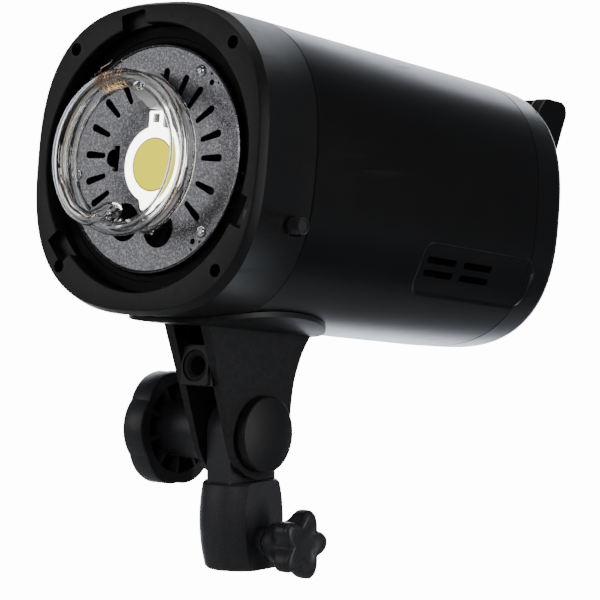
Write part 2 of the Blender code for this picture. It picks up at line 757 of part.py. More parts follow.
def body_shell():
    front, back = SEAM_FRONT + GAP / 2, SEAM_REAR - GAP / 2
    rings = [section(*casing_size(y), y) for y in (front, back)]
    obj = solidify(add("body_shell", loft(rings), BLACK, HEAD), WALL)
    slots = []
    for side in (-1, 1):
        for ahead in VENT_STARTS:
            for z in VENT_ROWS:
                y = SEAM_REAR - ahead + VENT_LENGTH / 2
                x = side * half_width_at(*casing_size(y), z)
                slots.append(((8 * WALL, VENT_LENGTH, VENT_H), (x, y, z)))
    return combine(obj, add("vent_cutter", boxes(slots), BLACK, HEAD))


def recess_size():
    """Half width and half height of the recess in the rear cover, at its floor."""
    half_w, half_h = casing_size(HEAD_LENGTH)
    return half_w - COVER_LIP - RECESS_LAND / 2, half_h - COVER_LIP - RECESS_LAND / 2


def rear_cover():
    half_w, half_h = casing_size(HEAD_LENGTH)
    floor_w, floor_h = recess_size()
    shrink = COVER_ROUND
    rings = [
        section(half_w, half_h, SEAM_REAR + GAP / 2),
        section(half_w - 0.0006, half_h - 0.0006, HEAD_LENGTH - COVER_LIP),
        section(half_w - 0.0006 - shrink, half_h - 0.0006 - shrink, HEAD_LENGTH - 0.0015),
        section(half_w - 0.004, half_h - 0.004, HEAD_LENGTH),
        section(floor_w + 0.001, floor_h + 0.001, HEAD_LENGTH),
        section(floor_w, floor_h, HEAD_LENGTH - RECESS_DEPTH),
        section(floor_w - PANEL_SEAT, floor_h - PANEL_SEAT, HEAD_LENGTH - RECESS_DEPTH),
    ]
    return solidify(add("rear_cover", loft(rings), BLACK, HEAD), WALL * 0.72)


def rear_handle():
    """A grip bar across the top of the rear, on two arms, with room for fingers round it."""
    half_h = casing_size(HEAD_LENGTH)[1]
    top = half_h - HANDLE_TOP_DROP
    foot = HEAD_LENGTH + GAP
    low = top - HANDLE_DROP
    side_view = [
        (foot, low), (foot + HANDLE_REACH * 0.60, low + 0.004),
        (foot + HANDLE_REACH - 0.0015, top - 0.006),
        *arc((foot + HANDLE_REACH - 0.005, top - 0.005), 0.005, 10, 90, 4),
        (foot + HANDLE_REACH * 0.36, top), (foot, top - HANDLE_BAR_H * 0.75),
    ]
    obj = add("rear_handle", outline([side_view], 2 * HANDLE_HALF_W, SIDE_VIEW), BLACK, HEAD)
    bar_front = foot + HANDLE_REACH - HANDLE_BAR_D
    under, below, above = top - HANDLE_BAR_H, low - 0.02, top + 0.02
    front, back = foot - 0.01, foot + HANDLE_REACH + 0.01
    room = [
        (front, below), (back, below), (back, under), (bar_front, under),
        (bar_front, above), (front, above),
    ]
    cutter = outline([room], 2 * (HANDLE_HALF_W - HANDLE_ARM_T), SIDE_VIEW)
    return combine(obj, add("finger_gap_cutter", cutter, BLACK, HEAD))


# ---------------------------------------------------------------- rear controls

PANEL_FACE = HEAD_LENGTH - RECESS_DEPTH + GAP + PANEL_T
DISPLAY = (0.048, 0.022, 0.0012, 0.0200)  # width, height, thickness, height of its middle
DIAL_R, DIAL_SHAFT_R, DIAL_PROUD, DIAL_Z = 0.0110, 0.0030, 0.0110, -0.0090
BUTTON_R, BUTTON_PROUD, BUTTON_LENGTH = 0.0042, 0.0024, 0.0075
BUTTON_X, BUTTON_ZS = 0.0270, (-0.0010, -0.0160)
ROCKER_W, ROCKER_H, ROCKER_AT = 0.0125, 0.0180, (-0.0240, -0.0375)
ROCKER_PROUD, ROCKER_DEPTH = 0.0034, 0.0060
INLET_W, INLET_H, INLET_AT = 0.0270, 0.0195, (0.0070, -0.0395)
INLET_DEPTH, INLET_WALL, INLET_PROUD = 0.0150, 0.0018, 0.0016
INLET_PIN = (0.0042, 0.0100, 0.0020)
FUSE_R, FUSE_NECK_R, FUSE_PROUD, FUSE_AT = 0.0062, 0.0048, 0.0060, (0.0310, -0.0330)
SYNC_R, SYNC_BORE_R, SYNC_PROUD, SYNC_AT = 0.0046, 0.0018, 0.0018, (-0.0390, 0.0080)
SENSOR_R, SENSOR_PROUD, SENSOR_AT = 0.0070, 0.0060, (0.0390, 0.0080)
FIT = 0.0004  # clearance of a moving control in its hole


def panel_point(x, z, out=0.0):
    """A point on the control panel, or proud of it."""
    return (x, PANEL_FACE + out, z)


def control_panel():
    half_w, half_h = recess_size()
    clearance = GAP + 0.0008
    back, front = PANEL_FACE, PANEL_FACE - PANEL_T
    rings = [section(half_w - clearance, half_h - clearance, y) for y in (front, back)]
    obj = add("control_panel", loft(rings, closed=True), GREY, HEAD)
    across = Matrix.Rotation(math.pi / 2, 4, "X")
    for name, radius, places in (
        ("dial", DIAL_SHAFT_R + FIT, [(0, DIAL_Z)]),
        ("button", BUTTON_R + FIT, button_places()),
        ("fuse", FUSE_NECK_R + FIT, [FUSE_AT]),
        ("sync", SYNC_R + GAP, [SYNC_AT]),
        ("sensor", SENSOR_R - 0.0010 + GAP, [SENSOR_AT]),
    ):
        holes = [Matrix.Translation(panel_point(x, z)) @ across for x, z in places]
        tool = rods(radius, 4 * PANEL_T, holes, 16)
        combine(obj, add(f"{name}_hole_cutter", tool, BLACK, HEAD))
    rocker_room = FIT + 0.0006
    openings = [
        ((ROCKER_W + 2 * rocker_room, 0.01, ROCKER_H + 2 * rocker_room), panel_point(*ROCKER_AT)),
        ((INLET_W + 2 * GAP, 0.01, INLET_H + 2 * GAP), panel_point(*INLET_AT)),
    ]
    return combine(obj, add("opening_cutter", boxes(openings), BLACK, HEAD))


def button_places():
    return [(side * BUTTON_X, z) for z in BUTTON_ZS for side in (-1, 1)]


def controls():
    width, height, thickness, z = DISPLAY
    mesh = box((width, thickness, height), panel_point(0, z, GAP + thickness / 2))
    bevel(add("display_window", mesh, SCREEN, HEAD), 0.0003, 1)
    top = DIAL_PROUD
    profile = [
        (0, top), (DIAL_R * 0.82, top), (DIAL_R * 0.90, top - 0.0008), (DIAL_R, 0.0010),
        (DIAL_R, GAP + 0.0004), (DIAL_SHAFT_R, GAP + 0.0004), (DIAL_SHAFT_R, -0.006), (0, -0.006),
    ]
    turned("control_dial", profile, BLACK, HEAD, panel_point(0, DIAL_Z), FACING_BACK, 28)
    profile = [
        (0, BUTTON_PROUD), (BUTTON_R - 0.0008, BUTTON_PROUD), (BUTTON_R, BUTTON_PROUD - 0.0006),
        (BUTTON_R, BUTTON_PROUD - BUTTON_LENGTH), (0, BUTTON_PROUD - BUTTON_LENGTH),
    ]
    names = ("up", "down", "test", "mode")
    for name, (x, z) in zip(names, button_places()):
        material = SIGNAL if name == "test" else RUBBER
        at = panel_point(x, z)
        turned(f"button_{name}", profile, material, HEAD, at, FACING_BACK, 16)
    half = ROCKER_H / 2
    side_view = [
        (-ROCKER_DEPTH, -half * 0.55), (0.0006, -half), (ROCKER_PROUD * 0.35, -half),
        (0.0010, 0), (ROCKER_PROUD, half), (0.0006, half), (-ROCKER_DEPTH, half * 0.55),
    ]
    mesh = outline([side_view[::-1]], ROCKER_W, SIDE_VIEW)
    add("power_rocker", mesh, SIGNAL, HEAD, panel_point(*ROCKER_AT))
    inlet = add("mains_inlet", box((INLET_W, INLET_DEPTH + INLET_PROUD, INLET_H)), BLACK, HEAD,
                panel_point(*INLET_AT, (INLET_PROUD - INLET_DEPTH) / 2))
    size = (INLET_W - 2 * INLET_WALL, INLET_DEPTH, INLET_H - 2 * INLET_WALL)
    at = panel_point(*INLET_AT, INLET_PROUD - INLET_DEPTH / 2 + 0.001)
    combine(inlet, add("inlet_recess_cutter", box(size), BLACK, HEAD, at))
    pin_w, pin_l, pin_t = INLET_PIN
    floor = INLET_PROUD - INLET_DEPTH + 0.001
    pins = [((pin_t, pin_l + 0.001, pin_w), (x, pin_l / 2 + floor - 0.001, z))
            for x, z in ((-0.007, -0.0022), (0.0, 0.0024), (0.007, -0.0022))]
    combine(inlet, add("inlet_pins", boxes(pins), STEEL, HEAD, panel_point(*INLET_AT)), "UNION")
    profile = [
        (0, FUSE_PROUD), (FUSE_R - 0.0006, FUSE_PROUD), (FUSE_R, FUSE_PROUD - 0.0006),
        (FUSE_R, GAP), (FUSE_NECK_R, GAP), (FUSE_NECK_R, -0.009), (0, -0.009),
    ]
    fuse = turned("fuse_cap", profile, BLACK, HEAD, panel_point(*FUSE_AT), FACING_BACK, 28)
    slot = box((2 * FUSE_R - 0.003, 0.003, 0.0016))
    at = panel_point(*FUSE_AT, FUSE_PROUD)
    combine(fuse, add("fuse_slot_cutter", slot, BLACK, HEAD, at))
    profile = plain_profile(SYNC_R, -0.008, SYNC_PROUD, SYNC_BORE_R)
    turned("sync_socket", profile, STEEL, HEAD, panel_point(*SYNC_AT), FACING_BACK, 16)
    dome = [(r, GAP + h) for r, h in arc((0, 0), SENSOR_R, 90, 0, 6)]
    dome = [(max(0.0, r if r > 1e-6 else 0.0), h * SENSOR_PROUD / SENSOR_R) for r, h in dome]
    neck = SENSOR_R - 0.0010
    dome += [(neck, dome[-1][1]), (neck, -0.004), (0, -0.004)]
    turned("slave_sensor", dome, SENSOR, HEAD, panel_point(*SENSOR_AT), FACING_BACK, 18)


# ---------------------------------------------------------------- inside the body


def inner_pieces():
    start, end = SEAM_FRONT + 0.012, SEAM_REAR - FAN_BEHIND - FAN_T - 0.004
    length = end - start
    middle = (start + end) / 2
    mesh = box((2 * CHASSIS_HALF_W, length, CHASSIS_T), (0, middle, CHASSIS_Z))
    add("chassis", mesh, STEEL, HEAD)
    deck = CHASSIS_Z + CHASSIS_T / 2
    at_z = deck + GAP + CAPACITOR_R
    profile = [
        (0, CAPACITOR_LENGTH), (CAPACITOR_R - 0.001, CAPACITOR_LENGTH),
        (CAPACITOR_R, CAPACITOR_LENGTH - 0.001), (CAPACITOR_R, 0), (0, 0),
    ]
    for side, name in ((-1, "left"), (1, "right")):
        at = (side * (CAPACITOR_R + 0.001), start + CAPACITOR_AHEAD, at_z)
        turned(f"capacitor_{name}", profile, SLEEVE, HEAD, at, FACING_BACK, 28)
    board_z = at_z + CAPACITOR_R + BOARD_RISE
    mesh = box((2 * BOARD_HALF_W, length, BOARD_T), (0, middle, board_z))
    add("power_board", mesh, BOARD, HEAD)
    top = board_z + BOARD_T / 2 + GAP
    mesh = box((COIL_W, COIL_L, COIL_H), (-0.018, end - 0.02 - COIL_L / 2, top + COIL_H / 2))
    bevel(add("transformer", mesh, COPPER, HEAD), 0.002, 1)
    profile = plain_profile(0.008, 0, 0.026)
    at = (0.022, start + 0.03, top + 0.008)
    turned("trigger_coil", profile, RUBBER, HEAD, at, FACING_BACK, 20)
    fan_y = end + 0.004 + FAN_T / 2
    frame = add("fan_frame", box((FAN_SIZE, FAN_T, FAN_SIZE)), BLACK, HEAD, (0, fan_y, 0))
    hole_r = FAN_SIZE / 2 - 0.002
    ring = rods(hole_r, 2 * FAN_T, [Matrix.Rotation(math.pi / 2, 4, "X")], 40)
    combine(frame, add("fan_hole_cutter", ring, BLACK, HEAD, (0, fan_y, 0)))
    seat = boxes([((2 * hole_r + 0.002, 0.002, 0.004), (0, -FAN_T / 2 + 0.001, 0)),
                  ((0.004, 0.002, 2 * hole_r + 0.002), (0, -FAN_T / 2 + 0.001, 0))])
    combine(frame, add("fan_spokes", seat, BLACK, HEAD, (0, fan_y, 0)), "UNION")
    rotor_t = FAN_T - 0.005
    place = Matrix.Translation((0, 0.001, 0)) @ Matrix.Rotation(math.pi / 2, 4, "X")
    hub = rods(FAN_HUB_R, rotor_t, [place], 28)
    rotor = add("fan_rotor", hub, BLACK, HEAD, (0, fan_y, 0))
    blade_out = hole_r - FAN_TIP_CLEARANCE
    blades = []
    for blade in range(FAN_BLADES):
        turn = Matrix.Rotation(2 * math.pi * blade / FAN_BLADES, 4, "Y")
        lean = Matrix.Rotation(math.radians(40), 4, "X")
        reach = blade_out - FAN_HUB_R + 0.002
        at = Matrix.Translation(((blade_out + FAN_HUB_R - 0.002) / 2, 0.001, 0))
        blades.append(((reach, 0.0012, rotor_t * 1.1), turn @ at @ lean))
    combine(rotor, add("fan_blades", boxes(blades), BLACK, HEAD, (0, fan_y, 0)), "UNION")
    board_y = PANEL_FACE - PANEL_T - BUTTON_LENGTH - 0.004
    half_w, half_h = recess_size()
    rings = [section(half_w - 0.012, half_h - 0.020, y) for y in (board_y, board_y + BOARD_T)]
    board = add("control_board", loft(rings, closed=True), BOARD, HEAD)
    size = (2 * half_w, 0.02, half_h)
    combine(board, add("board_cutter", box(size, (0, board_y, -half_h / 2 - 0.022)), BLACK, HEAD))


# ---------------------------------------------------------------- tilting bracket


def cheek(side, name):
    """One cheek of the bracket in the tilt axis's frame, leaning outwards towards the head."""
    top = AXIS_RISE - WAIST_H + 0.010
    line_top = PIVOT_DROP
    front_turn = 180 + math.degrees(math.atan2(line_top * 0.42, line_top))
    points = [
        (CHEEK_FRONT_TOP, top), (CHEEK_FRONT_TOP, line_top),
        *arc((0, 0), CHEEK_ROUND_R, front_turn, 360, 13),
        (CHEEK_REAR_WAIST, line_top * 0.42), (CHEEK_REAR_WAIST + 0.0012, line_top * 0.62),
        (CHEEK_REAR_WAIST + 0.0042, line_top * 0.82), (CHEEK_REAR_TOP, line_top),
        (CHEEK_REAR_TOP, top),
    ]
    thickness = CHEEK_OUTER - CHEEK_INNER
    mesh = outline([points], thickness, SIDE_VIEW)
    for vertex in mesh.vertices:
        outer = vertex.co.x * side > 0
        lean = max(0.0, vertex.co.z) * CHEEK_SPREAD if outer else 0.0
        vertex.co.x = side * ((CHEEK_OUTER if outer else CHEEK_INNER) + lean)
    return as_cutter(add(name, mesh, GREY, PIVOT))


def bracket():
    head_y = FACE_AHEAD
    foot = AXIS_RISE - WAIST_H
    middle = (PAD_BEHIND - PAD_AHEAD) / 2
    half_l = (PAD_AHEAD + PAD_BEHIND) / 2
    loop = [(PAD_HALF_W * math.cos(t), half_l * math.sin(t))
            for t in (2 * math.pi * i / 48 for i in range(48))]
    rise = 0.022
    mesh = outline([loop], rise)
    at = (0, middle, foot + rise / 2 - PAD_T - 0.0005)
    obj = add("tilt_bracket", mesh, GREY, PIVOT, at)
    combine(obj, casing_solid("pad_outside", PAD_T, HEAD), "INTERSECT")
    cheeks = [cheek(side, f"cheek_{name}") for side, name in ((-1, "left"), (1, "right"))]
    for tool in cheeks:
        combine(obj, tool, "UNION")
    low = UMBRELLA_RISE - UMBRELLA_BLOCK_H
    high = foot + 0.004
    size = (2 * CHEEK_INNER + 0.002, UMBRELLA_TO - UMBRELLA_FROM, high - low)
    centre = (0, (UMBRELLA_TO + UMBRELLA_FROM) / 2, (high + low) / 2)
    combine(obj, add("umbrella_block", box(size, centre), GREY, PIVOT), "UNION")
    combine(obj, casing_solid("pad_inside", GAP, HEAD))
    across = Matrix.Rotation(math.pi / 2, 4, "Y")
    bolt_hole = rods(BOLT_R + BOLT_CLEARANCE, 6 * CHEEK_OUTER, [across], 24)
    combine(obj, add("bolt_hole_cutter", bolt_hole, GREY, PIVOT))
    along = Matrix.Translation((0, 0, UMBRELLA_RISE)) @ Matrix.Rotation(math.pi / 2, 4, "X")
    bush_hole = rods(UMBRELLA_BUSH_R + GAP, 4 * head_y, [along], 28)
    combine(obj, add("umbrella_cutter", bush_hole, GREY, PIVOT))
    length = UMBRELLA_TO - UMBRELLA_FROM
    profile = plain_profile(UMBRELLA_BUSH_R, 0, length, UMBRELLA_BORE_R)
    at = (0, UMBRELLA_FROM, UMBRELLA_RISE)
    turned("umbrella_bush", profile, RUBBER, PIVOT, at, FACING_BACK, 28)


def tilt_hardware():
    reach = KNOB_INNER_FACE + KNOB_W - KNOB_FLOOR_T
    profile = plain_profile(BOLT_R, 0, reach + CHEEK_OUTER)
    turned("tilt_bolt", profile, STEEL, PIVOT, (CHEEK_OUTER, 0, 0), FACING_LEFT, 24)
    bore = BOLT_R + BOLT_CLEARANCE
    profile = plain_profile(WASHER_R, 0, WASHER_T, bore)
    for side, name in ((-1, "left"), (1, "right")):
        turn = FACING_RIGHT if side > 0 else FACING_LEFT
        at = (side * (TONGUE_HALF_T + GAP), 0, 0)
        turned(f"friction_washer_{name}", profile, STEEL, PIVOT, at, turn, 28)
    edge = CHEEK_OUTER + GAP + CHEEK_SPREAD * CAP_R
    dome = [(CAP_R - 0.0006, CAP_EDGE), (CAP_R, CAP_EDGE - 0.0006), (CAP_R, 0), (0, 0)]
    crown = [(CAP_R * share, CAP_EDGE + CAP_DOME * (1 - share**2))
             for share in (0, 0.35, 0.65, 0.88)]
    turned("tilt_cap", crown + dome, GREY, PIVOT, (edge, 0, 0), FACING_RIGHT, 28)


def lobed(radius, depth, lobes, count, phase=0.0):
    """A round outline whose radius falls by depth between its lobes."""
    points = []
    for i in range(count):
        turn = 2 * math.pi * i / count
        r = radius - depth * (0.5 - 0.5 * math.cos(lobes * (turn - phase)))
        points.append((r * math.cos(turn), r * math.sin(turn)))
    return points


def tilt_knob():
    """A hollow-backed wheel on the left of the bracket: its pockets and ribs face the cheek."""
    middle = -(KNOB_INNER_FACE + KNOB_W / 2)
    wheel = lobed(KNOB_R, KNOB_LOBE_DEPTH, KNOB_LOBES, 48, math.radians(KNOB_PHASE))
    mesh = outline([wheel], KNOB_W, SIDE_VIEW)
    mesh.transform(Matrix.Translation((middle, 0, 0)))
    obj = add("tilt_knob", mesh, GREY, PIVOT)
    pocket_in = KNOB_HUB_R - 0.0005
    pocket_out = KNOB_R - KNOB_LOBE_DEPTH - KNOB_RIM_T
    pockets = []
    for rib in range(KNOB_RIBS):
        turn = 360 / KNOB_RIBS * rib
        half = 180 / KNOB_RIBS
        trim_in = math.degrees(KNOB_RIB_T / 2 / pocket_in)
        trim_out = math.degrees(KNOB_RIB_T / 2 / pocket_out)
        pockets.append(
            arc((0, 0), pocket_out, turn - half + trim_out, turn + half - trim_out, 5)
            + arc((0, 0), pocket_in, turn + half - trim_in, turn - half + trim_in, 4)
        )
    depth = KNOB_W - KNOB_FLOOR_T
    mesh = outline(pockets, depth + 0.002, SIDE_VIEW)
    mesh.transform(Matrix.Translation((-KNOB_INNER_FACE - depth / 2 + 0.001, 0, 0)))
    combine(obj, add("pocket_cutter", mesh, GREY, PIVOT))
    hub_start = -(CHEEK_OUTER + GAP + CHEEK_SPREAD * KNOB_HUB_R)
    hub_end = -(KNOB_INNER_FACE + depth / 2)
    across = Matrix.Rotation(math.pi / 2, 4, "Y")
    place = Matrix.Translation(((hub_start + hub_end) / 2, 0, 0)) @ across
    hub = rods(KNOB_HUB_R, hub_start - hub_end, [place], 28)
    combine(obj, add("hub_tool", hub, GREY, PIVOT), "UNION")
    reach = KNOB_INNER_FACE + depth + GAP
    place = Matrix.Translation((-reach / 2, 0, 0)) @ across
    bore = rods(BOLT_R + BOLT_CLEARANCE, reach, [place], 24)
    combine(obj, add("knob_bore_cutter", bore, GREY, PIVOT))


# ---------------------------------------------------------------- stand adaptor


def stand_adaptor():
    wide = SPIGOT_BORE_R + BARREL_WALL
    top_r, foot_r = wide - BARREL_TAPER_TOP, wide - BARREL_TAPER_FOOT
    profile = [
        (0, BARREL_H), (top_r - BARREL_CHAMFER, BARREL_H), (top_r, BARREL_H - BARREL_CHAMFER),
        (wide - BARREL_TAPER_TOP * 0.3, BARREL_H * 0.78), (wide, BARREL_H * 0.52),
        (wide - BARREL_TAPER_FOOT * 0.35, BARREL_H * 0.24), (foot_r, BARREL_CHAMFER),
        (foot_r - BARREL_CHAMFER, 0), (SPIGOT_BORE_R, 0), (SPIGOT_BORE_R, SPIGOT_BORE_DEPTH),
        (0, SPIGOT_BORE_DEPTH),
    ]
    obj = turned("stand_adaptor", profile, GREY, steps=32)
    flats = box((2 * BARREL_FLAT, 4 * wide, 4 * BARREL_H), (0, 0, 0))
    combine(obj, add("flats_tool", flats, GREY), "INTERSECT")
    foot = BARREL_H - TONGUE_SINK
    sides = [(TONGUE_R, foot), *arc((0, PIVOT_HEIGHT), TONGUE_R, 0, 180, 21), (-TONGUE_R, foot)]
    tongue = outline([sides], 2 * TONGUE_HALF_T, SIDE_VIEW)
    combine(obj, add("tongue_tool", tongue, GREY), "UNION")
    across = Matrix.Rotation(math.pi / 2, 4, "Y")
    bolt_hole = rods(BOLT_R + BOLT_CLEARANCE, 6 * TONGUE_HALF_T, [across], 24)
    combine(obj, add("tongue_hole_cutter", bolt_hole, GREY, at=(0, 0, PIVOT_HEIGHT)))
    hole = rods(CLAMP_SCREW_R + GAP, 2 * wide, [Matrix.Translation((wide, 0, 0)) @ across], 24)
    combine(obj, add("clamp_hole_cutter", hole, GREY, at=(0, 0, CLAMP_Z)))


def clamp():
    """The screw and its star knob push the pad on to a spigot through the adaptor's wall."""
    pad_in = SPIGOT_BORE_R + 0.0001
    profile = plain_profile(CLAMP_SCREW_R - 0.0001, 0, CLAMP_PAD_T)
    turned("pressure_pad", profile, BRASS, at=(pad_in, 0, CLAMP_Z), turn=FACING_RIGHT, steps=20)
    screw_in = pad_in + CLAMP_PAD_T + GAP
    hub_in = BARREL_FLAT + STAR_HUB_GAP
    screw_out = hub_in + STAR_HUB_L
    profile = plain_profile(CLAMP_SCREW_R, 0, screw_out - screw_in)
    turned("clamp_screw", profile, STEEL, at=(screw_in, 0, CLAMP_Z), turn=FACING_RIGHT, steps=20)
    star_in = hub_in + STAR_HUB_L - 0.001
    mesh = outline([lobed(STAR_R, STAR_VALLEY, STAR_LOBES, 40)], STAR_W, SIDE_VIEW)
    mesh.transform(Matrix.Translation((star_in + STAR_W / 2, 0, 0)))
    star = bevel(add("star_knob", mesh, GREY, at=(0, 0, CLAMP_Z)), 0.0016, 1)
    across = Matrix.Rotation(math.pi / 2, 4, "Y")
    middle = hub_in + STAR_HUB_L / 2
    hub = rods(STAR_HUB_R, STAR_HUB_L, [Matrix.Translation((middle, 0, 0)) @ across], 32)
    combine(star, add("star_hub_tool", hub, GREY, at=(0, 0, CLAMP_Z)), "UNION")
    depth = screw_out + GAP - hub_in + 0.01
    place = Matrix.Translation((screw_out + GAP - depth / 2, 0, 0)) @ across
    bore = rods(CLAMP_SCREW_R + GAP, depth, [place], 20)
    combine(star, add("star_bore_cutter", bore, GREY, at=(0, 0, CLAMP_Z)))


def build():
    front_housing()
    face_screws()
    bayonet_ring()
    reflector_plate()
    plate_screws()
    led_lamp()
    flash_tube()
    release_catch()
    body_shell()
    rear_cover()
    rear_handle()
    control_panel()
    controls()
    inner_pieces()
    bracket()
    tilt_hardware()
    tilt_knob()
    stand_adaptor()
    clamp()


build()
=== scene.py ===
"""Looks of a monolight strobe: its casing, ring tube, reflector plate, rear controls, tilting
bracket and stand adaptor, with their finishes, studio light and camera. Units are metres."""

import logging
import math
from dataclasses import dataclass, field
from enum import Enum

import bmesh
import bpy
import numpy as np
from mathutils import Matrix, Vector


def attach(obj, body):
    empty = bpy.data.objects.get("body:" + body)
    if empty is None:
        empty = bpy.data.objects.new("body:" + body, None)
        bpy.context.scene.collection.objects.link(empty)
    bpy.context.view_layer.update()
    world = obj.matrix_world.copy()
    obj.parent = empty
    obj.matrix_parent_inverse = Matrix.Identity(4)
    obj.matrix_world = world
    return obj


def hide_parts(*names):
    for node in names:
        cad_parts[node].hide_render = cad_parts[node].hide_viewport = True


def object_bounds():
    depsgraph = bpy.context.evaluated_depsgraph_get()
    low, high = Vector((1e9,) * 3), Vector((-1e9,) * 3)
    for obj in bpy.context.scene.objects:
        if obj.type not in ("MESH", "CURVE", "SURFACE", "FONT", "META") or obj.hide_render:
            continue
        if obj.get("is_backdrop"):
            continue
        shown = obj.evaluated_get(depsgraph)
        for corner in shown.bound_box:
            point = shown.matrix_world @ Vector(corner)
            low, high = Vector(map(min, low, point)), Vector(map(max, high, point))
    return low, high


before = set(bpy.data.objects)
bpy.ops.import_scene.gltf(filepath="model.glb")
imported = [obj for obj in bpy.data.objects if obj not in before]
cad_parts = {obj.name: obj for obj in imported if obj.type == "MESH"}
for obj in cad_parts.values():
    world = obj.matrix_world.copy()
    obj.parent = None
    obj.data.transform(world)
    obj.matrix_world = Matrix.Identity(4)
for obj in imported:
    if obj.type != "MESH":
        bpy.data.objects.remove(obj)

Array = np.ndarray
log = logging.getLogger("strobe")


# ---------------------------------------------------------------- axes and joins


class Axis(Enum):
    """The way a turned or extruded shape's own z is laid, as rows that carry it there."""

    UP = ((1, 0, 0), (0, 1, 0), (0, 0, 1))
    BACK = ((1, 0, 0), (0, 0, 1), (0, -1, 0))
    FRONT = ((1, 0, 0), (0, 0, -1), (0, 1, 0))
    RIGHT = ((0, 0, 1), (0, 1, 0), (-1, 0, 0))
    LEFT = ((0, 0, -1), (0, 1, 0), (1, 0, 0))
    SIDE = ((0, 0, 1), (1, 0, 0), (0, 1, 0))

    def lay(self, points: Array) -> Array:
        """Turns points so that their z runs along this axis."""
        return points @ np.array(self.value, float).T


class Join(Enum):
    """How one solid changes another."""

    CUT = "DIFFERENCE"
    ADD = "UNION"
    KEEP = "INTERSECT"


@dataclass(frozen=True)
class Frame:
    """Axes that are moved from the row's own, with the front raised by a tilt in degrees."""

    origin: tuple[float, float, float] = (0.0, 0.0, 0.0)
    tilt: float = 0.0

    def place(self, points: Array) -> Array:
        """Carries points into the row frame: a turn about x by the tilt, then the move.

        Args:
            points: rows of x, y, z in this frame.

        Returns:
            Rows of x, y, z in the row frame.
        """
        turn = math.radians(self.tilt)
        x, y, z = np.asarray(points, float).reshape(-1, 3).T
        across = y * math.cos(turn) + z * math.sin(turn)
        up = z * math.cos(turn) - y * math.sin(turn)
        return np.column_stack((x, across, up)) + np.array(self.origin)


TILT = 7.0
PIVOT = Frame((0.0, 0.0, 0.0615), TILT)
HEAD = Frame(tuple(PIVOT.place(np.array([(0.0, -0.0798, 0.1161)]))[0]), TILT)
STAND = Frame()


# ---------------------------------------------------------------- shapes as whole arrays


@dataclass
class Surface:
    """Points and the corner numbers of their faces."""

    points: Array
    faces: list[list[int]] = field(default_factory=list)

    def moved(self, x: float = 0.0, y: float = 0.0, z: float = 0.0) -> "Surface":
        """The same surface, moved."""
        return Surface(self.points + np.array((x, y, z)), self.faces)

    def laid(self, axis: Axis) -> "Surface":
        """The same surface with its z along an axis."""
        return Surface(axis.lay(self.points), self.faces)

    def joined(self, *others: "Surface") -> "Surface":
        """This surface and others as one, with no weld."""
        points, faces = [self.points], list(self.faces)
        for other in others:
            start = sum(len(part) for part in points)
            points.append(other.points)
            faces += [[corner + start for corner in face] for face in other.faces]
        return Surface(np.concatenate(points), faces)


def grid_quads(rows: int, columns: int, wrap_rows: bool, wrap_columns: bool) -> list[list[int]]:
    """Quads between neighbouring points of a grid numbered row by row.

    Args:
        rows: points down the grid.
        columns: points across it.
        wrap_rows: whether the last row joins the first.
        wrap_columns: whether the last column joins the first.

    Returns:
        Four corner numbers for each quad.
    """
    down = np.arange(rows if wrap_rows else rows - 1)
    along = np.arange(columns if wrap_columns else columns - 1)
    r, c = (a.ravel() for a in np.meshgrid(down, along, indexing="ij"))
    below, beside = (r + 1) % rows, (c + 1) % columns
    corners = (r * columns + c, below * columns + c, below * columns + beside, r * columns + beside)
    return np.column_stack(corners).tolist()


def skin(grid: Array, ring: bool = False, capped: bool = True) -> Surface:
    """A tube through the rows of a grid, each row a closed loop of points.

    Args:
        grid: rows, points in a row, and x y z.
        ring: whether the last row joins the first, as round a hollow ring.
        capped: whether each end gets a flat face.

    Returns:
        The closed surface.
    """
    rows, columns, _ = grid.shape
    faces = grid_quads(rows, columns, ring, True)
    if capped and not ring:
        faces.append(list(range(columns)))
        faces.append(list(range(rows * columns - 1, (rows - 1) * columns - 1, -1)))
    return Surface(grid.reshape(-1, 3), faces)


def turned(profile: Array, count: int = 96, bored: bool = False) -> Surface:
    """A profile turned about z. A point (r, h) at the turn t lies at (r cos t, r sin t, h).

    Args:
        profile: rows of radius and height.
        count: steps in a full turn.
        bored: whether the profile's end joins its start, which leaves a bore.

    Returns:
        The turned surface, with its poles closed by a weld later.
    """
    turn = np.linspace(0, 2 * np.pi, count, endpoint=False)
    radius, height = np.asarray(profile, float).T
    grid = np.stack(
        (
            np.outer(radius, np.cos(turn)),
            np.outer(radius, np.sin(turn)),
            np.repeat(height[:, None], count, axis=1),
        ),
        axis=2,
    )
    return skin(grid, ring=bored, capped=False)


def prism(outline: Array, low: float, high: float) -> Surface:
    """An outline in x and y carried from one height to another, with flat ends."""
    outline = np.asarray(outline, float)
    levels = [np.column_stack((outline, np.full(len(outline), z))) for z in (low, high)]
    return skin(np.stack(levels))


